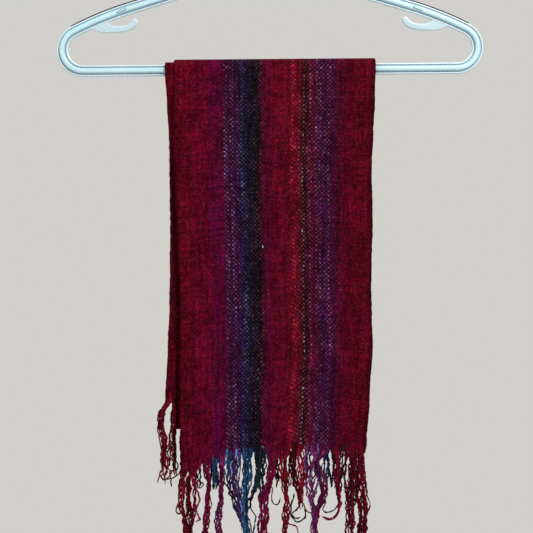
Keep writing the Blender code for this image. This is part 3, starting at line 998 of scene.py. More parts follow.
    def _neck_bar(self) -> None:
        """The thin bar across the arch."""
        inside = self.crown_radius - self.tube_height / 2 + self.sunk
        drop = self.neck_bar_z - (self.apex - self.crown_radius)
        half = math.sqrt(inside**2 - drop**2)
        path = [Station(half * (step / 6 - 1), self.neck_bar_z, 0.0) for step in range(13)]
        shell = self._sweep(path, round_section(self.neck_bar_height, 16), share=self.plain)
        settle(shell.make("hanger_neck_bar", self.finish, 50), Slot.HANGER, "neck_bar")

    def _arm_z(self, x: float) -> float:
        """Height of the middle of the right arm above a place on X."""
        arm = [at for at in reversed(self.half) if at.z > self.arm_foot_z]
        return float(np.interp(x, [at.x for at in arm], [at.z for at in arm]))

    def _strap_hook(self, side: Side) -> None:
        """A flat strap hook with softened edges, and its root inside the arm.

        Args:
            side: The side of the hanger.
        """
        clear = self.tube_height / 2 / math.cos(self.shoulder_slope) - self.sunk
        reach = self.strap_leave_x - self.strap_root_x
        root = [self.strap_root_x + reach * step / 8 for step in range(9)]
        inside = [(x, self._arm_z(x) - clear) for x in root]
        outline = np.vstack([inside, smooth_line(np.array(self.strap_edge))])
        along = unit(np.roll(outline, -1, axis=0) - np.roll(outline, 1, axis=0))
        inward = np.stack([along[:, 1], -along[:, 0]], axis=1)
        inward *= np.sign(((outline.mean(axis=0) - outline) * inward).sum())
        at_root = outline[:, :1] > self.strap_leave_x - 0.002
        rounding = np.where(at_root, self.strap_root_round, 1.0) * self.strap_round
        half = self.strap_depth / 2
        rows = [(inset, half * depth, share) for inset, depth, share in self.strap_rows]
        rows += [(inset, -depth, share) for inset, depth, share in reversed(rows)]
        shell = Shell()
        for inset, depth, share in rows:
            shell.points += [(side.value * x, depth, z) for x, z in outline + inward * rounding * inset]
            shell.shares += [share] * len(outline)
        shell.skin(len(rows), len(outline))
        piece = shell.make(f"{side.word}_strap_blade", self.finish, 35)
        settle(piece, Slot.HANGER, f"{side.word}_strap_hook")

    def _grip(self, side: Side) -> None:
        """The dark strip let into the top of a shoulder.

        Args:
            side: The side of the hanger.
        """
        turn = self.shoulder_slope - self.arm_slope
        end = self.half[self.bar_steps + self.end_steps]
        path = [end, *end.bend(self.shoulder_run / turn, turn, 12)]
        path += path[-1].run(self.grip_run, 16)
        path = [at.beside(self.tube_height / 2 + self.grip_height / 2) for at in path]
        if side is Side.LEFT:
            path = [at.mirrored() for at in path]
        high, deep = -side.value * self.grip_height / 2, self.grip_depth / 2
        section = [(high * across, deep * depth) for across, depth in self.grip_shape]
        whole = [1.0] * (len(path) - 2 * len(self.grip_taper))
        shell = self._sweep(path, section, [*self.grip_taper, *whole, *reversed(self.grip_taper)])
        settle(shell.make(f"{side.word}_grip", self.rubber, 50), Slot.GRIP, f"{side.word}_grip_strip")

    def _mark(self, side: Side) -> None:
        """The small oblong boss on the front of an arm, with a painted shadow line round its edge.

        Args:
            side: The side of the hanger.
        """
        shell, count = Shell(), self.mark_points
        slope = (self.arm_slope + self.shoulder_slope) / 2
        centre_z = self._arm_z(self.mark_x)
        straight = (self.mark_length - self.mark_height) / 2
        for grown, depth, share in self.mark_rows:
            for index in range(count):
                turn = 2 * math.pi * (index + 0.5) / count
                along = math.copysign(straight, math.cos(turn)) + self.mark_height / 2 * math.cos(turn) * grown
                up = self.mark_height / 2 * math.sin(turn) * grown
                x = self.mark_x + along * math.cos(slope) + up * math.sin(slope)
                z = centre_z - along * math.sin(slope) + up * math.cos(slope)
                shell.points.append((side.value * x, -depth, z))
            shell.shares += [share] * count
        shell.skin(len(self.mark_rows), count)
        settle(shell.make(f"{side.word}_arm_mark", self.finish, 40), Slot.HANGER)

    def build(self) -> None:
        """Makes every piece of the hanger."""
        self._frame()
        self._hook()
        self._neck_bar()
        for side in Side:
            self._strap_hook(side)
            self._grip(side)
            self._mark(side)


# Scarf


@dataclass(frozen=True)
class Wave:
    """An upright trough or ridge that the layers share."""

    x: float
    half_width: float
    depth: float
    start: float


@dataclass(frozen=True)
class Crease:
    """A faint level crease left from being folded away."""

    drop: float
    left: float
    right: float
    depth: float
    half_height: float


@dataclass
class Drape:
    """Shape of the hung cloth: where each layer's middle lies."""

    bar_drop: float = 0.222
    tube_height: float = 0.0112
    cloth: float = 0.0022
    gap: float = 0.0003
    fold_drop: float = 0.3505
    fold_run: float = 0.014  # how far up both sides the fold's own piece goes
    fold_opening_start: float = 0.300
    fold_inner_y: float = 0.0064
    fold_outer_y: float = 0.0124
    layer_spread: float = 0.0010
    spread_run: float = 0.05
    wave_run: float = 0.08
    taut_start: float = 0.006  # below it the cloth is no longer pulled flat by the bar
    taut_run: float = 0.06
    broad_depth: float = 0.0011
    fine_depth: float = 0.00042
    level_fade: float = 0.02  # how softly a level crease ends
    level_sag: float = 0.004
    valley_offset: float = 0.0030
    valley_depth: float = 0.0085
    valley_start: float = 0.006
    valley_run: float = 0.12
    valley_half_top: float = 0.0045
    valley_half_growth: float = 0.0035
    turned_width: float = 0.012
    turned_depth: float = 0.0022
    turned_start: float = 0.02
    turned_run: float = 0.05
    ragged_share: float = 0.03  # share of the width that each ragged edge takes
    ragged_fine: float = 0.00035
    ragged_slow: float = 0.0005
    hem_ragged: float = 0.001
    outer_front_edges: Edges = Edges((
        (0.000, -0.0943, 0.1032), (0.030, -0.0937, 0.1019), (0.068, -0.0931, 0.1002), (0.098, -0.0926, 0.0985),
        (0.157, -0.0914, 0.0990), (0.186, -0.0899, 0.0978), (0.216, -0.0893, 0.0971), (0.270, -0.0895, 0.0982),
        (0.324, -0.0900, 0.0947), (0.364, -0.0897, 0.0915), (0.390, -0.0882, 0.0884),
    ))
    inner_front_edges: Edges = Edges((
        (0.000, -0.1031, 0.0944), (0.038, -0.1010, 0.0930), (0.078, -0.0998, 0.0915), (0.157, -0.0994, 0.0900),
        (0.236, -0.1005, 0.0885), (0.275, -0.1028, 0.0872), (0.330, -0.1056, 0.0860),
    ))
    outer_back_edges: Edges = Edges((
        (0.000, -0.0943, 0.1032), (0.060, -0.0945, 0.0995), (0.157, -0.0948, 0.0968), (0.270, -0.0955, 0.0955),
        (0.360, -0.0970, 0.0925),
    ))
    inner_back_edges: Edges = Edges((
        (0.000, -0.1031, 0.0944), (0.060, -0.0992, 0.0925), (0.157, -0.0978, 0.0922), (0.270, -0.0970, 0.0923),
        (0.360, -0.0970, 0.0925),
    ))
    outer_hem: Table = Table(
        (-0.088, -0.077, -0.062, -0.040, -0.019, 0.004, 0.022, 0.036, 0.054, 0.088),
        (0.3890, 0.3885, 0.3820, 0.3755, 0.3745, 0.3775, 0.3670, 0.3700, 0.3730, 0.3765),
    )
    inner_hem: Table = Table((-0.105, -0.092, -0.040, 0.030, 0.086), (0.3210, 0.3245, 0.3280, 0.3255, 0.3290))
    front_waves: tuple[Wave, ...] = (
        Wave(-0.062, 0.034, -0.0014, 0.040),
        Wave(-0.018, 0.026, 0.0012, 0.060),
        Wave(0.034, 0.030, -0.0015, 0.050),
        Wave(0.070, 0.022, 0.0009, 0.080),
    )
    back_waves: tuple[Wave, ...] = (
        Wave(-0.070, 0.030, 0.0013, 0.050),
        Wave(-0.022, 0.028, -0.0012, 0.040),
        Wave(0.026, 0.032, 0.0016, 0.070),
        Wave(0.074, 0.026, -0.0010, 0.050),
    )
    front_creases: tuple[Crease, ...] = (
        Crease(0.115, -0.105, -0.062, 0.0007, 0.0035),
        Crease(0.157, -0.102, -0.058, 0.0006, 0.0030),
        Crease(0.232, -0.030, 0.060, 0.0004, 0.0050),
        Crease(0.300, -0.080, 0.010, 0.0004, 0.0045),
    )
    back_creases: tuple[Crease, ...] = (
        Crease(0.090, 0.020, 0.100, 0.0006, 0.0035),
        Crease(0.174, -0.100, 0.030, 0.0007, 0.0040),
        Crease(0.262, -0.020, 0.090, 0.0005, 0.0045),
    )

    def __post_init__(self) -> None:
        """Works out how far each layer's middle lies from the bar's, and the length round the loop's bottom."""
        self.inner_radius = self.tube_height / 2 + self.gap + self.cloth / 2
        self.outer_radius = self.inner_radius + self.cloth + self.gap
        self.bend_length = math.pi * (self.fold_outer_y - self.fold_inner_y) / 2

    def _shared(
        self, waves: Sequence[Wave], creases: Sequence[Crease], seed: float, x: Array, drop: Array
    ) -> Array:
        """What two neighbouring layers share: upright waves and soft creases, taut at the bar.

        Args:
            waves: The waves.
            creases: The level creases.
            seed: Pattern of the soft creases.
            x: Places across.
            drop: Drops below the bar.

        Returns:
            Metres towards the back.
        """
        x, drop = np.broadcast_arrays(x, drop)
        waved = np.zeros(x.shape)
        for wave in waves:
            across = 1 - ease(np.abs(x - wave.x) / wave.half_width)
            waved = waved + wave.depth * across * ease((drop - wave.start) / self.wave_run)
        broad = waver(x * 24 + drop * 3, drop * 7.5 - x * 2, seed)
        fine = waver(x * 62 + drop * 9, drop * 21, seed + 9)
        depth = self.broad_depth * broad + self.fine_depth * fine
        for crease in creases:
            within = ease((x - crease.left) / self.level_fade) * ease((crease.right - x) / self.level_fade)
            sag = crease.drop + self.level_sag * np.sin((x - crease.left) * 55)
            depth = depth + crease.depth * within * (1 - ease(np.abs(drop - sag) / crease.half_height))
        return waved + depth * ease((drop - self.taut_start) / self.taut_run)

    def _front(self, x: Array, drop: Array) -> Array:
        """What both front layers share."""
        return self._shared(self.front_waves, self.front_creases, 1.3, x, drop)

    def _back(self, x: Array, drop: Array) -> Array:
        """What both back layers share."""
        return self._shared(self.back_waves, self.back_creases, 4.7, x, drop)

    def _opening(self, drop: Array) -> Array:
        """How far the back layers have parted for the fold."""
        return ease((drop - self.fold_opening_start) / (self.fold_drop - self.fold_opening_start))

    def inner_front_y(self, x: Array, drop: Array) -> Array:
        """Depth of the inner front layer, which dips behind the outer layer's left edge.

        Args:
            x: Places across.
            drop: Drops below the bar.

        Returns:
            The depths.
        """
        middle = self.outer_front_edges.left(drop) - self.valley_offset
        grown = ease((drop - self.valley_start) / self.valley_run)
        half_width = self.valley_half_top + self.valley_half_growth * grown
        valley = self.valley_depth * grown * (1 - ease(np.abs(x - middle) / half_width))
        return -self.inner_radius + self._front(x, drop) + valley

    def outer_front_y(self, x: Array, drop: Array) -> Array:
        """Depth of the outer front layer, whose right edge turns back.

        Args:
            x: Places across.
            drop: Drops below the bar.

        Returns:
            The depths.
        """
        spread = self.layer_spread * ease(drop / self.spread_run)
        right = self.outer_front_edges.right(drop)
        grown = ease((drop - self.turned_start) / self.turned_run)
        turned = self.turned_depth * ease((x - right) / self.turned_width + 1) * grown
        return -self.outer_radius - spread + self._front(x, drop) + turned

    def inner_back_y(self, x: Array, drop: Array) -> Array:
        """Depth of the inner back layer."""
        opened = (self.fold_inner_y - self.inner_radius) * self._opening(drop)
        return self.inner_radius + opened + self._back(x, drop)

    def outer_back_y(self, x: Array, drop: Array) -> Array:
        """Depth of the outer back layer."""
        resting = self.outer_radius + self.layer_spread * ease(drop / self.spread_run)
        return resting + (self.fold_outer_y - resting) * self._opening(drop) + self._back(x, drop)

    def _ragged(self, drop: Array, share: Array, seed: float) -> Array:
        """Small unevenness of the two side edges, where each pick turns.

        Args:
            drop: Drops below the bar.
            share: Shares of the width.
            seed: Which pattern.

        Returns:
            Metres to the right.
        """
        drop, share = np.broadcast_arrays(drop, share)
        paces = ((230, 0), (210, 3), (42, 6))
        left, right, slow = (waver(drop * pace, 0.0, seed + step) for pace, step in paces)
        at_left = ease(1 - share / self.ragged_share)
        at_right = ease((share - 1 + self.ragged_share) / self.ragged_share)
        fine = self.ragged_fine * (left * at_left + right * at_right)
        return fine + self.ragged_slow * slow * (at_left - at_right)

    def hanging(self, edges: Edges, hem: Table | float, depth: Place, seed: float) -> Place:
        """Place of a stretch that hangs from the bar.

        Args:
            edges: Its side edges.
            hem: Where it ends.
            depth: Its depth by x and drop.
            seed: Pattern of its edges.

        Returns:
            A function of the shares across and down.
        """

        def place(across: Array, down: Array) -> Array:
            """Places by the shares across and down."""
            low_x = edges.across(edges.rows[-1][0], across)
            end = hem
            if isinstance(hem, Table):
                end = hem.at(low_x) + self.hem_ragged * waver(low_x * 250, 0.0, seed + 8)
            drop = end * down
            x = edges.across(drop, across) + self._ragged(drop, across, seed) * ease(drop / 0.02)
            return np.stack(np.broadcast_arrays(x, depth(x, drop), -self.bar_drop - drop), axis=-1)

        return place

    def over_bar(self, edges: Edges, radius: float) -> Place:
        """Place of a stretch that goes over the bar from front to back.

        Args:
            edges: Its side edges.
            radius: Its middle's distance from the bar's.

        Returns:
            A function of the shares across and down.
        """

        def place(across: Array, down: Array) -> Array:
            """Places by the shares across and down."""
            x, turn = edges.across(0.0, across), math.pi * down
            rise = -self.bar_drop + radius * np.sin(turn)
            return np.stack(np.broadcast_arrays(x, -radius * np.cos(turn), rise), axis=-1)

        return place

    def fold(self, across: Array, down: Array) -> Array:
        """Place round the bottom of the loop, from the outer back stretch to the inner one.

        Args:
            across: Shares across.
            down: Shares along.

        Returns:
            The places.
        """
        gone = (2 * self.fold_run + self.bend_length) * down
        before, after = self.fold_run - gone, gone - self.fold_run - self.bend_length
        turned = np.clip((gone - self.fold_run) / self.bend_length, 0.0, 1.0)
        drop = self.fold_drop - np.maximum(before, 0.0) - np.maximum(after, 0.0)
        outer_x = self.outer_back_edges.across(drop, across) + self._ragged(drop, across, 13.0)
        inner_x = self.inner_back_edges.across(drop, across) + self._ragged(drop, across, 15.0)
        x = outer_x + (inner_x - outer_x) * ease(turned)
        outer, inner = self.outer_back_y(x, drop), self.inner_back_y(x, drop)
        radius = (outer - inner) / 2
        y = (outer + inner) / 2 + radius * np.cos(math.pi * turned)
        drop = drop + radius * np.sin(math.pi * turned)
        return np.stack(np.broadcast_arrays(x, y, -self.bar_drop - drop), axis=-1)


@dataclass(frozen=True)
class Stretch:
    """One stretch of the scarf: its place function, and where it lies along the cloth in metres."""

    name: str
    node: str
    place: Place
    rows: int
    along_start: float
    along_end: float
    held: Held
    rests_on: tuple[str, ...] = ("hanger_frame",)


@dataclass
class Weaver:
    """Makes the stretches' thin shells."""

    finish: Material
    weave: WovenFinish
    thickness: float = 0.0022
    columns: int = 84
    rim_steps: int = 5
    cut_width: float = 0.198
    step: float = 1e-4
    cap_half: float = 0.0015  # half height of a cap on the flat map

    def _facing(self, place: Place, across: Array, down: Array) -> tuple[Array, Array]:
        """Directions of the cloth.

        Args:
            place: The stretch's place function.
            across: Shares across.
            down: Shares along.

        Returns:
            The unit normals and the unit directions towards the right edge.
        """
        sideways = place(across + self.step, down) - place(across - self.step, down)
        normal = unit(np.cross(sideways, place(across, down + self.step) - place(across, down - self.step)))
        return normal, unit(sideways - normal * (sideways * normal).sum(axis=-1, keepdims=True))

    def weave_stretch(self, stretch: Stretch) -> Piece:
        """Builds one stretch as a closed thin shell with rounded side edges.

        Args:
            stretch: The stretch.

        Returns:
            The object.
        """
        columns, downs = np.linspace(0, 1, self.columns + 1), np.linspace(0, 1, stretch.rows + 1)
        angles = [math.pi * step / self.rim_steps for step in range(1, self.rim_steps)]
        loop = [(share, 1.0, 0.0) for share in columns]
        loop += [(1.0, math.cos(angle), math.sin(angle)) for angle in angles]
        loop += [(share, -1.0, 0.0) for share in columns[::-1]]
        loop += [(0.0, -math.cos(angle), -math.sin(angle)) for angle in angles]
        table, count = np.array(loop), len(loop)
        across = np.broadcast_to(table[:, 0], (len(downs), count))
        down = np.broadcast_to(downs[:, None], across.shape)
        normal, sideways = self._facing(stretch.place, across, down)
        facing = normal * table[None, :, 1:2] + sideways * table[None, :, 2:3]
        points = stretch.place(across, down) + facing * self.thickness / 2
        widths = np.linalg.norm(np.diff(np.vstack([points[0], points[0][:1]]), axis=0), axis=1)
        round_share = np.concatenate([[0], np.cumsum(widths) / widths.sum()]) * MAP_SPAN + MAP_EDGE
        grid = np.arange(len(downs) * count).reshape(len(downs), count)
        corners = cells(np.hstack([grid, grid[:, :1]]))
        facing = facing.reshape(-1, 3)
        ends = table[:, 0] * self.weave.warp_ends
        picks = (stretch.along_start + (stretch.along_end - stretch.along_start) * downs) / self.weave.pick
        shell = Shell(points.reshape(-1, 3).tolist(), corners.reshape(-1, 4).tolist(), facing[corners].tolist())
        shell.flat = map_cells(round_share, MAP_EDGE + MAP_SPAN * downs)
        shell.cloth = map_cells([*ends, ends[0]], picks)
        self._cap(shell, grid[0][::-1], points[0] - points[1], 0.002, ends[::-1], picks[0])
        self._cap(shell, grid[-1], points[-1] - points[-2], 0.998, ends, picks[-1])
        piece = shell.make(stretch.name, self.finish)
        face = piece.data.polygons[len(piece.data.polygons) // 3]
        if face.normal.dot(Vector(facing[face.vertices[0]])) <= 0:
            piece.data.flip_normals()
        return settle(piece, Slot.CHENILLE, stretch.node)

    def _cap(self, shell: Shell, ring: Array, outward: Array, level: float, ends: Array, pick: float) -> None:
        """Closes an end of a shell with quads from one face to the other.

        Args:
            shell: The shell.
            ring: Its last ring.
            outward: Direction out of the end at each point of the ring's row.
            level: Where the cap lies on the flat map.
            ends: Warp end at each point of the ring.
            pick: Pick at which the cap lies.
        """
        count = len(ring)
        quads = count // 2 - 1
        for index in range(quads):
            chosen = [index, index + 1, count - 2 - index, count - 1 - index]
            shell.faces.append([int(ring[place]) for place in chosen])
            shell.cloth += [(ends[place], pick) for place in chosen]
        shell.normals += [unit(outward.mean(axis=0)).tolist()] * (4 * quads)
        columns = CAP_EDGE + CAP_SPAN * np.arange(quads + 1) / count * 2
        shell.flat += map_cells(columns, (level - self.cap_half, level + self.cap_half))


# Fringes


CRIMSON = paint(96, 6, 30)
MAGENTA = paint(92, 10, 54)
RED = paint(102, 9, 25)
MAROON = paint(66, 5, 22)
BLACK = paint(18, 12, 20)
NAVY = paint(22, 24, 58)
SLATE = paint(32, 38, 68)
TEAL = paint(14, 48, 76)
PURPLE = paint(62, 26, 68)
LILAC = paint(90, 50, 92)
PALE = paint(146, 160, 178)
ROSE = paint(186, 146, 158)
AZURE = paint(30, 74, 108)
DEEP = paint(9, 32, 38)
VIOLET = paint(66, 46, 104)
PERIWINKLE = paint(84, 98, 146)


@dataclass(frozen=True)
class Bundle:
    """A bundle of warp yarns in millimetres: its root's two ends, and its path as (x, drop, width) rows."""

    root: tuple[float, float]
    yarns: int
    colours: tuple[Colour, ...]
    path: Rows
    cords: int = 3
    trimmed: float = 0.08  # share of the length by which the shortest yarn is shorter


@dataclass(frozen=True)
class Stray:
    """A single loose yarn, as (x, drop) points in millimetres, and how far forward it lies."""

    colour: Colour
    points: Rows
    forward: float = 0.0


@dataclass
class Fringe:
    """The loose yarns below one hem."""

    name: str
    node: str
    finish: Material
    bar_drop: float
    hem: Table
    depth: Place
    bundles: Sequence[Bundle]
    strays: Sequence[Stray]
    seed: int
    yarn_radius: float = 0.00074
    sides: int = 6
    spacing: float = 0.0012
    shag: float = 0.34  # how uneven the pile round a yarn is
    tuck: float = 0.0065  # how far above the hem a yarn may start
    proud: float = 0.0012  # how far some yarns lie before the cloth's middle there
    leave_run: float = 0.013
    room: float = 0.0030
    behind: float = 0.0  # how far the yarns lie towards the back
    cord_reach: float = 0.62  # share of the bundle's width over which its cords are spread
    cord_width: float = 0.0012
    loose: float = 0.0013
    kink: float = 0.0008
    own_dye: float = 0.35  # share of the yarns that differ from their cord
    patterns: float = 900.0  # how many patterns a yarn's path is drawn from
    map_share: float = 0.84  # share of its column that a yarn fills on the flat map

    def _tube(self, shell: Shell, line: Array, radii: Array, colour: Colour) -> None:
        """Adds one yarn.

        Args:
            shell: The shell that it joins.
            line: Its middle line.
            radii: Its radius at each point.
            colour: Its colour.
        """
        tangents = unit(np.gradient(line, axis=0))
        side = unit(np.cross(tangents[0], (0.0, 1.0, 0.0)))
        turns = (2 * np.pi * np.arange(self.sides) / self.sides)[:, None]
        uneven = np.random.default_rng(len(shell.points) + self.seed)
        tufts = uneven.uniform(-self.shag, self.shag, (len(line), self.sides, 1))
        for point, tangent, radius, tuft in zip(line, tangents, radii, tufts):
            side = unit(side - tangent * side.dot(tangent))
            spoke = np.cos(turns) * side + np.sin(turns) * np.cross(tangent, side)
            shell.points += (point + radius * (1 + tuft) * spoke).tolist()
        shell.colours += [colour] * (len(line) * self.sides)
        shell.skin(len(line), self.sides)

    def _map(self, shell: Shell, lengths: Sequence[int]) -> None:
        """Lays every yarn flat in a column of its own.

        Args:
            shell: The shell with all the yarns.
            lengths: How many points each yarn has.
        """
        width = self.map_share / len(lengths)
        turns = [2 * math.pi * corner / self.sides for corner in range(self.sides)]
        for number, length in enumerate(lengths):
            left = (number + (1 - self.map_share) / 2) / len(lengths)
            columns = left + width * np.arange(self.sides + 1) / self.sides
            shell.flat += map_cells(columns, CAP_EDGE + CAP_SPAN * np.arange(length) / (length - 1))
            for level in (0.004, 0.996):
                shell.flat += [
                    (left + width * (0.5 + 0.4 * math.cos(turn)), level + 0.003 * math.sin(turn))
                    for turn in turns
                ]

    def _yarn_line(self, bundle: Bundle, number: int, keys: Sequence[float], chance: random.Random) -> Array:
        """Middle line of one yarn of a bundle.

        Args:
            bundle: The bundle.
            number: Which of its yarns.
            keys: Patterns of the bundle's cords.
            chance: Source of its unevenness.

        Returns:
            The points.
        """
        middles, drops, widths = np.array(bundle.path).T / 1000
        left, right = (edge / 1000 for edge in bundle.root)
        place = number * bundle.cords / bundle.yarns
        cord = int(place)
        root_x = left + (right - left) * (number + 0.5) / bundle.yarns
        hem = float(self.hem.at(root_x))
        end = drops[-1] - (drops[-1] - drops[0]) * chance.uniform(0.0, bundle.trimmed)
        tuck = self.tuck * chance.uniform(0.4, 1.0)
        drop = np.linspace(hem - tuck, end, max(6, int((end - hem + tuck) / self.spacing)))
        key = chance.uniform(0, self.patterns)
        swing, deep = (waver(drop * 36 + keys[cord], 0.0, seed) for seed in (0.5, 7.5))
        loose, sunk = (waver(drop * 95 + key, 0.0, seed) for seed in (1.5, 8.5))
        kink = waver(drop * 260 + key, 0.0, 5.5)
        own = (2 * (cord + 0.5) / bundle.cords - 1) * self.cord_reach + 0.5 * swing
        gathered = Table(drops, middles).at(drop) + Table(drops, widths).at(drop) / 2 * own
        gathered = gathered + self.cord_width * (2 * (place - cord) - 1) + self.loose * loose + self.kink * kink
        leave = ease((drop - hem) / self.leave_run)
        x = root_x * (1 - leave) + gathered * leave
        y = self.depth(np.full_like(drop, root_x), np.minimum(drop, hem))
        y = y - chance.choice((0.0, 0.5, 1.0)) * self.proud
        y = y + leave * (self.behind + self.room * (0.7 * deep + 0.33 * sunk - 0.2 * kink))
        return np.stack([x, y, -self.bar_drop - drop], axis=-1)

    def _stray_line(self, stray: Stray, chance: random.Random) -> Array:
        """Middle line of a loose yarn, smoothed through its points.

        Args:
            stray: The loose yarn.
            chance: Source of its unevenness.

        Returns:
            The points.
        """
        x, drop = smooth_line(np.array(stray.points) / 1000).T
        shake = waver(np.arange(len(x)) * 0.3 + chance.uniform(0, self.patterns), 0.0, 2.5)
        depth = self.depth(x, drop) - stray.forward + 0.0016 * shake
        return np.stack([x + 0.0005 * shake, depth, -self.bar_drop - drop], axis=-1)

    def _add(self, shell: Shell, line: Array, colour: Colour, chance: random.Random) -> int:
        """Adds a yarn with uneven pile and its own shade.

        Args:
            shell: The shell that it joins.
            line: Its middle line.
            colour: Its colour before its own shade.
            chance: Source of its unevenness.

        Returns:
            How many points its line has.
        """
        tone = chance.uniform(0.55, 1.45)
        thinner = waver(np.arange(len(line)) * 0.5 + chance.uniform(0, self.patterns), 0.0, 3.5)
        radii = self.yarn_radius * chance.uniform(0.8, 1.15) * (1 + 0.3 * thinner)
        radii[[0, -1]] *= 0.35
        radii[[1, -2]] *= 0.8
        self._tube(shell, line, radii, tuple(value * tone for value in colour))
        return len(line)

    def build(self) -> Piece:
        """Makes all the yarns in one piece.

        Returns:
            The object.
        """
        chance = random.Random(self.seed)
        shell, lengths = Shell(), []
        for bundle in self.bundles:
            keys = [chance.uniform(0, self.patterns) for _ in range(bundle.cords)]
            dyes = [chance.choice(bundle.colours) for _ in range(bundle.cords)]
            for number in range(bundle.yarns):
                line = self._yarn_line(bundle, number, keys, chance)
                own = chance.random() < self.own_dye
                colour = chance.choice(bundle.colours) if own else dyes[number * bundle.cords // bundle.yarns]
                lengths.append(self._add(shell, line, colour, chance))
        for stray in self.strays:
            lengths.append(self._add(shell, self._stray_line(stray, chance), stray.colour, chance))
        self._map(shell, lengths)
        return settle(shell.make(self.name, self.finish), Slot.FRINGE, self.node)


OUTER_BUNDLES = (
    Bundle((-88.5, -70.0), 21, (CRIMSON, CRIMSON, MAROON), (
        (-82, 390, 15), (-83.5, 408, 16.5), (-83, 423, 18), (-83, 438, 15),
        (-82.5, 453, 13), (-82.5, 472, 13)), 6),
    Bundle((-69.0, -59.5), 10, (CRIMSON, MAGENTA), (
        (-65, 383, 9.6), (-63.5, 403, 6), (-64.5, 424, 8), (-65, 435, 7), (-66, 453, 6.5), (-66, 468, 7))),
    Bundle((-58.8, -53.5), 7, (SLATE, AZURE, NAVY), (
        (-56.6, 384, 6), (-56.4, 396, 6), (-55.8, 405, 5), (-56.2, 413, 4)), 3, 0.3),
    Bundle((-53.0, -46.5), 8, (MAGENTA, PURPLE), (
        (-50.5, 382, 8), (-50.3, 403, 6), (-51, 415, 5.5), (-52, 433, 8.7),
        (-52.6, 454, 10), (-52.7, 468, 10)), 2),
    Bundle((-45.5, -42.0), 5, (AZURE, SLATE), ((-44.5, 378, 5), (-45, 391, 5), (-44.8, 402, 4.5)), 2, 0.4),
    Bundle((-41.5, -31.0), 14, (PURPLE, VIOLET, PERIWINKLE, SLATE), (
        (-36.5, 376, 12), (-37, 391, 13), (-37.5, 403, 14), (-36.5, 412, 12), (-34.5, 424, 9), (-31.4, 436, 6),
        (-29.8, 454, 3.5)), 6, 0.4),
    Bundle((-30.5, -20.0), 13, (TEAL, AZURE, NAVY), (
        (-25.4, 376, 8.6), (-24.7, 394, 7.2), (-27, 412, 7.6), (-27.6, 424, 7), (-27.5, 436, 6.3),
        (-26.4, 454, 8.8), (-26.5, 469, 8.8)), 5),
    Bundle((-18.5, -7.0), 14, (BLACK, DEEP, DEEP), (
        (-12.3, 375, 9.5), (-12.6, 391, 10), (-12.8, 403, 9.5), (-13.6, 416, 7.5)), 4, 0.15),
    Bundle((-16.0, -9.0), 4, (BLACK,), (
        (-12.3, 375, 6), (-14, 403, 6), (-19, 415, 4), (-24.2, 424, 2.5), (-26, 434, 2)), 2),
    Bundle((-6.5, 6.0), 14, (MAGENTA, MAGENTA, CRIMSON), (
        (-2, 378, 11), (-3, 391, 9.5), (-4, 403, 6.5), (-6, 412, 7.5), (-9, 418, 12), (-10.7, 433, 13.8),
        (-11.3, 448, 13), (-11.4, 466, 13)), 5),
    Bundle((7.0, 17.0), 10, (CRIMSON, RED), (
        (12, 379, 9.4), (11.3, 394, 9), (11.5, 412, 7), (11.5, 427, 8.7), (11.4, 439, 6), (11, 447, 3.3),
        (10.7, 463, 3.3))),
    Bundle((18.0, 30.0), 13, (RED, CRIMSON, MAROON), (
        (23, 370, 11), (24, 387, 10.5), (24.7, 403, 10.5), (26, 418, 9.6), (27.6, 434, 7)), 4, 0.25),
    Bundle((31.0, 54.0), 20, (PURPLE, LILAC, VIOLET, MAGENTA, SLATE), (
        (41.2, 370, 22), (41.1, 387, 24), (41.6, 403, 25), (42.4, 413, 23), (41.2, 423, 15), (40.6, 432, 6),
        (40.4, 454, 5), (40.3, 469, 5)), 8, 0.3),
    Bundle((56.0, 69.0), 10, (MAROON, BLACK, CRIMSON), (
        (63, 375, 11), (62.8, 392, 9.4), (62.8, 404, 7.8), (63.4, 416, 4.8),
        (64.4, 425, 4), (62.8, 432, 3.5)), 3, 0.4),
    Bundle((69.5, 73.0), 3, (MAROON,), (
        (71.4, 378, 5), (69.7, 404, 3.6), (73.6, 425, 3.3), (73.2, 450, 2.4)), 1, 0.3),
    Bundle((73.5, 81.5), 12, (MAROON, MAROON, CRIMSON), (
        (77.5, 377, 7), (77.2, 395, 7), (77.4, 413, 9.5), (76, 431, 11), (76.4, 455, 13), (76, 469, 13)), 5),
    Bundle((82.0, 88.5), 15, (CRIMSON, MAROON, MAROON), (
        (85.8, 377, 7), (85.7, 395, 8), (85.9, 410, 11), (86.5, 428, 13), (87, 443, 15), (87.2, 455, 14),
        (87.2, 470, 14)), 6),
)
INNER_LEFT_BUNDLES = (
    Bundle((-104.8, -99.0), 12, (CRIMSON, MAROON, CRIMSON), (
        (-103.8, 322, 5), (-108.5, 338, 5), (-109, 351, 6), (-106.5, 362, 9), (-106, 374, 10), (-106.8, 388, 9),
        (-107, 402, 9)), 3, 0.2),
    Bundle((-98.5, -93.5), 11, (CRIMSON, MAROON), (
        (-96.5, 323, 5), (-97, 338, 6), (-97.5, 350, 7), (-98.5, 362, 8),
        (-99, 380, 9), (-99.5, 400, 10)), 3, 0.2),
)
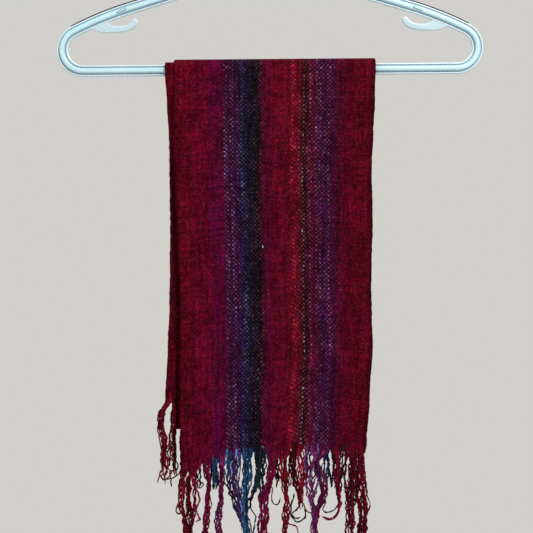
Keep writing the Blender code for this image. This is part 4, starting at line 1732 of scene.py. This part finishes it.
OUTER_STRAYS = (
    Stray(CRIMSON, ((-90, 422), (-94.5, 427), (-95.2, 431), (-93.3, 434.5), (-90, 433))),
    Stray(CRIMSON, (
        (-76.3, 407), (-73.4, 414), (-72.6, 422), (-75.3, 430), (-73.3, 437), (-72, 440), (-76, 442))),
    Stray(MAROON, ((-79, 399), (-73, 402), (-68, 404), (-69.8, 408), (-76, 409)), 0.002),
    Stray(BLACK, ((-49, 402), (-46, 406), (-43.5, 410), (-40, 415), (-37, 422)), 0.002),
    Stray(BLACK, ((-29.3, 403), (-31, 415), (-33.2, 424), (-30.2, 433))),
    Stray(SLATE, ((-23, 424), (-21.5, 431), (-17.6, 437), (-18.6, 446), (-20, 455))),
    Stray(MAROON, ((-1, 409), (-1.6, 418), (-0.2, 425), (3.7, 426), (6.4, 420))),
    Stray(BLACK, (
        (20, 415), (17.8, 424), (16.5, 434), (19, 440), (23, 443), (29, 440), (31, 435), (30, 429)), 0.001),
    Stray(BLACK, ((26.6, 423), (22.8, 430), (17.7, 435), (21.2, 439), (26.5, 438)), 0.002),
    Stray(CRIMSON, ((28.8, 424), (31.5, 431), (36.2, 434), (38.6, 432)), 0.001),
    Stray(NAVY, ((49, 413), (50.7, 424), (48, 431), (51, 434), (58.7, 432), (64, 425))),
    Stray(MAGENTA, ((64.7, 423), (64, 431), (61, 438), (56.2, 441), (50.5, 440), (46.4, 437)), 0.002),
    Stray(MAROON, ((64.2, 425), (63, 432), (59.5, 438), (54.5, 440), (49, 438)), 0.001),
    Stray(CRIMSON, ((89.6, 396), (90.6, 410), (92.3, 421), (94.3, 427), (92.2, 435))),
    Stray(CRIMSON, ((13.4, 441), (14.5, 445), (21, 447), (23.8, 452), (25, 458))),
)
INNER_STRAYS = (
    Stray(MAROON, (
        (-108, 391), (-111.5, 396), (-108.3, 400), (-103, 401), (-95.5, 399), (-91.2, 394),
        (-90.5, 386), (-91.3, 379))),
    Stray(CRIMSON, ((-106.2, 361), (-104.8, 370), (-107.3, 382), (-102.8, 391), (-97, 393), (-95.6, 386))),
    Stray(CRIMSON, ((-106.4, 389), (-110, 394), (-111.5, 398), (-113, 405))),
    Stray(MAROON, ((-106, 394), (-106.2, 400), (-106, 406))),
    Stray(MAROON, ((-101.3, 392), (-100.8, 400), (-100.3, 409))),
    Stray(CRIMSON, ((-99, 392), (-102, 398), (-107, 402), (-110, 399), (-107, 395)), 0.001),
)


def hidden_bundles() -> list[Bundle]:
    """Bundles of the inner fringe that the outer layer hides, from left to right.

    Returns:
        The bundles.
    """
    rows = (
        (-88.0, 11, -89.0, 8, (CRIMSON, MAROON)),
        (-74.0, 11, -73.0, 8, (MAROON, BLACK, BLACK)),
        (-58.0, 11, -57.5, 9, (TEAL, SLATE, BLACK)),
        (-40.0, 12, -39.5, 9, (PURPLE, SLATE, NAVY)),
        (-26.0, 9, -26.5, 7, (NAVY, TEAL)),
        (-14.0, 10, -13.5, 8, (BLACK, TEAL, BLACK)),
        (3.5, 9, 4.5, 6, (BLACK, MAROON)),
        (18.0, 10, 17.5, 7, (MAROON, RED)),
        (32.5, 10, 33.0, 8, (BLACK, SLATE, PURPLE)),
        (52.0, 11, 52.5, 9, (NAVY, BLACK, PURPLE)),
        (62.0, 10, 62.0, 8, (MAROON, BLACK, MAROON)),
        (80.0, 10, 80.0, 8, (MAROON, CRIMSON)),
    )
    made = []
    for x, width, low_x, yarns, colours in rows:
        middles = (x, x, (x + low_x) / 2, low_x, low_x)
        widths = (width * share for share in (0.8, 0.5, 0.65, 0.7, 0.8))
        path = tuple(zip(middles, (325, 340, 362, 390, 412), widths))
        made.append(Bundle((x - width / 2, x + width / 2), yarns, colours, path, 3, 0.15))
    return made


def flecks() -> list[Stray]:
    """Small pale tufts on the front of the cloth.

    Returns:
        The tufts.
    """
    rows = (
        (-8.9, 173.2, 0.4, 2.4, PALE),
        (29.9, 158.6, -0.3, 1.8, paint(96, 84, 96)),
        (30.7, 262.4, 0.3, 1.8, ROSE),
        (31.0, 266.0, -0.3, 1.8, paint(158, 120, 130)),
        (-14.3, 293.0, 0.2, 2.2, paint(84, 78, 92)),
        (30.8, 275.4, 0.3, 1.8, ROSE),
        (-14.5, 301.8, 0.2, 3.2, paint(58, 70, 74)),
        (-10.8, 368.6, 2.4, 4.6, paint(92, 111, 128)),
    )
    return [
        Stray(colour, ((x, drop), (x + lean * 0.6, drop + length / 2), (x + lean, drop + length)), 0.0017)
        for x, drop, lean, length, colour in rows
    ]


# Studio


@dataclass
class Studio:
    """Floor, lights, world and camera."""

    centre: Vector
    distance: float = 1.15
    field_width: float = 0.525
    roll: float = math.radians(-0.45)
    floor_z: float = -1.62
    floor_half: float = 2.2
    floor_steps: int = 8
    sensor: float = 36.0
    air: tuple[float, ...] = (0.97, 0.95, 0.91, 1)
    air_strength: float = 0.66

    def _floor(self) -> None:
        """A wide plain floor."""
        places = [self.floor_half * (2 * step / self.floor_steps - 1) for step in range(self.floor_steps + 1)]
        shell = Shell([(x, y, self.floor_z) for y in places for x in places])
        grid = np.arange(len(places) ** 2).reshape(len(places), -1)
        shell.faces = cells(grid).reshape(-1, 4).tolist()
        shell.make("studio_floor", FloorFinish().material())

    def _light(
        self, name: str, way: Sequence[float], distance: float, size: float, watts: float, colour: Colour
    ) -> None:
        """A soft area light that looks at the middle of the object.

        Args:
            name: Its name.
            way: Direction from the object to the light.
            distance: How far off it is.
            size: Length of its side.
            watts: Its power.
            colour: Its colour.
        """
        lamp = bpy.data.lights.new(name, "AREA")
        lamp.shape, lamp.size, lamp.energy, lamp.color = "SQUARE", size, watts, colour
        light = bpy.data.objects.new(name, lamp)
        light.location = self.centre + Vector(way).normalized() * distance
        light.rotation_euler = Vector(way).to_track_quat("Z", "Y").to_euler()
        bpy.context.scene.collection.objects.link(light)

    def _world(self) -> None:
        """Pale even surroundings."""
        world = bpy.data.worlds.new("studio_world")
        world.use_nodes = True
        background = world.node_tree.nodes["Background"]
        for socket, value in zip(background.inputs, (self.air, self.air_strength)):
            socket.default_value = value
        bpy.context.scene.world = world
        bpy.context.scene.view_settings.view_transform = "Standard"

    def _camera(self) -> None:
        """Straight-on camera with the photograph's frame."""
        data = bpy.data.cameras.new("photo_camera")
        data.sensor_width = self.sensor
        data.lens = self.sensor * self.distance / self.field_width
        data.clip_start, data.clip_end = 0.05, 50
        data.dof.use_dof = False
        camera = bpy.data.objects.new("photo_camera", data)
        facing = Matrix.Rotation(math.pi / 2, 4, "X") @ Matrix.Rotation(self.roll, 4, "Z")
        camera.matrix_world = Matrix.Translation(self.centre + Vector((0, -self.distance, 0))) @ facing
        bpy.context.scene.collection.objects.link(camera)
        bpy.context.scene.camera = camera

    def build(self) -> None:
        """Sets everything up."""
        self._floor()
        self._light("key", (0.62, -0.95, 1.05), 2.2, 0.8, 46, (1.0, 0.97, 0.92))
        self._light("fill", (-0.9, -1.0, 0.15), 2.4, 1.6, 8, (0.90, 0.95, 1.0))
        self._light("back", (0.2, 1.0, 0.8), 2.4, 1.6, 20, (1.0, 0.98, 0.95))
        self._world()
        self._camera()


# The whole


def make_scarf(drape: Drape) -> None:
    """Builds the cloth and its fringes.

    Args:
        drape: Shape of the hung cloth.
    """
    weave = WovenFinish()
    weaver = Weaver(weave.material(), weave)
    yarn = YarnFinish().material()
    hang = drape.fold_drop - drape.fold_run
    bend = drape.bend_length + 2 * drape.fold_run
    lengths = (0.0, 0.3790, math.pi * drape.outer_radius, hang, bend, hang, math.pi * drape.inner_radius, 0.3260)
    marks = [float(mark) for mark in np.cumsum(lengths)]
    outer_front = drape.hanging(drape.outer_front_edges, drape.outer_hem, drape.outer_front_y, 11.0)
    outer_back = drape.hanging(drape.outer_back_edges, hang, drape.outer_back_y, 13.0)
    inner_back = drape.hanging(drape.inner_back_edges, hang, drape.inner_back_y, 15.0)
    inner_front = drape.hanging(drape.inner_front_edges, drape.inner_hem, drape.inner_front_y, 17.0)
    outer_top = drape.over_bar(drape.outer_front_edges, drape.outer_radius)
    inner_top = drape.over_bar(drape.inner_front_edges, drape.inner_radius)
    backs = ("scarf_outer_back", "scarf_inner_back")
    stretches = (
        Stretch("scarf_outer_front", "outer_front", outer_front, 156, marks[1], marks[0], Held.HUNG),
        Stretch("scarf_outer_top", "outer_over_bar", outer_top, 24, marks[1], marks[2], Held.DRAPED),
        Stretch("scarf_outer_back", "outer_back", outer_back, 140, marks[2], marks[3], Held.HUNG),
        Stretch("scarf_fold", "bottom_fold", drape.fold, 28, marks[3], marks[4], Held.FOLDED, backs),
        Stretch("scarf_inner_back", "inner_back", inner_back, 140, marks[5], marks[4], Held.HUNG),
        Stretch("scarf_inner_top", "inner_over_bar", inner_top, 20, marks[6], marks[5], Held.DRAPED),
        Stretch("scarf_inner_front", "inner_front", inner_front, 130, marks[6], marks[7], Held.HUNG),
    )
    outer = Fringe("outer_fringe_yarns", "outer_fringe", yarn, drape.bar_drop, drape.outer_hem,
                   drape.outer_front_y, OUTER_BUNDLES, (*OUTER_STRAYS, *flecks()), 21)
    inner = Fringe("inner_fringe_yarns", "inner_fringe", yarn, drape.bar_drop, drape.inner_hem,
                   drape.inner_front_y, (*INNER_LEFT_BUNDLES, *hidden_bundles()), INNER_STRAYS, 33,
                   room=0.0014, behind=0.0014)
    extras = {"scarf_outer_front": [outer.build()], "scarf_inner_front": [inner.build()]}
    made = [(weaver.weave_stretch(stretch), stretch) for stretch in stretches]


def main() -> None:
    """Builds the studio, the hanger and the scarf."""
    logging.basicConfig(level=logging.INFO, format="%(message)s")
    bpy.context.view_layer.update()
    Studio(Vector((-0.0051, 0.0, -0.4157))).build()
    Hanger(PlasticFinish().material(), RubberFinish().material()).build()
    make_scarf(Drape())


if __name__ == "__main__":
    main()
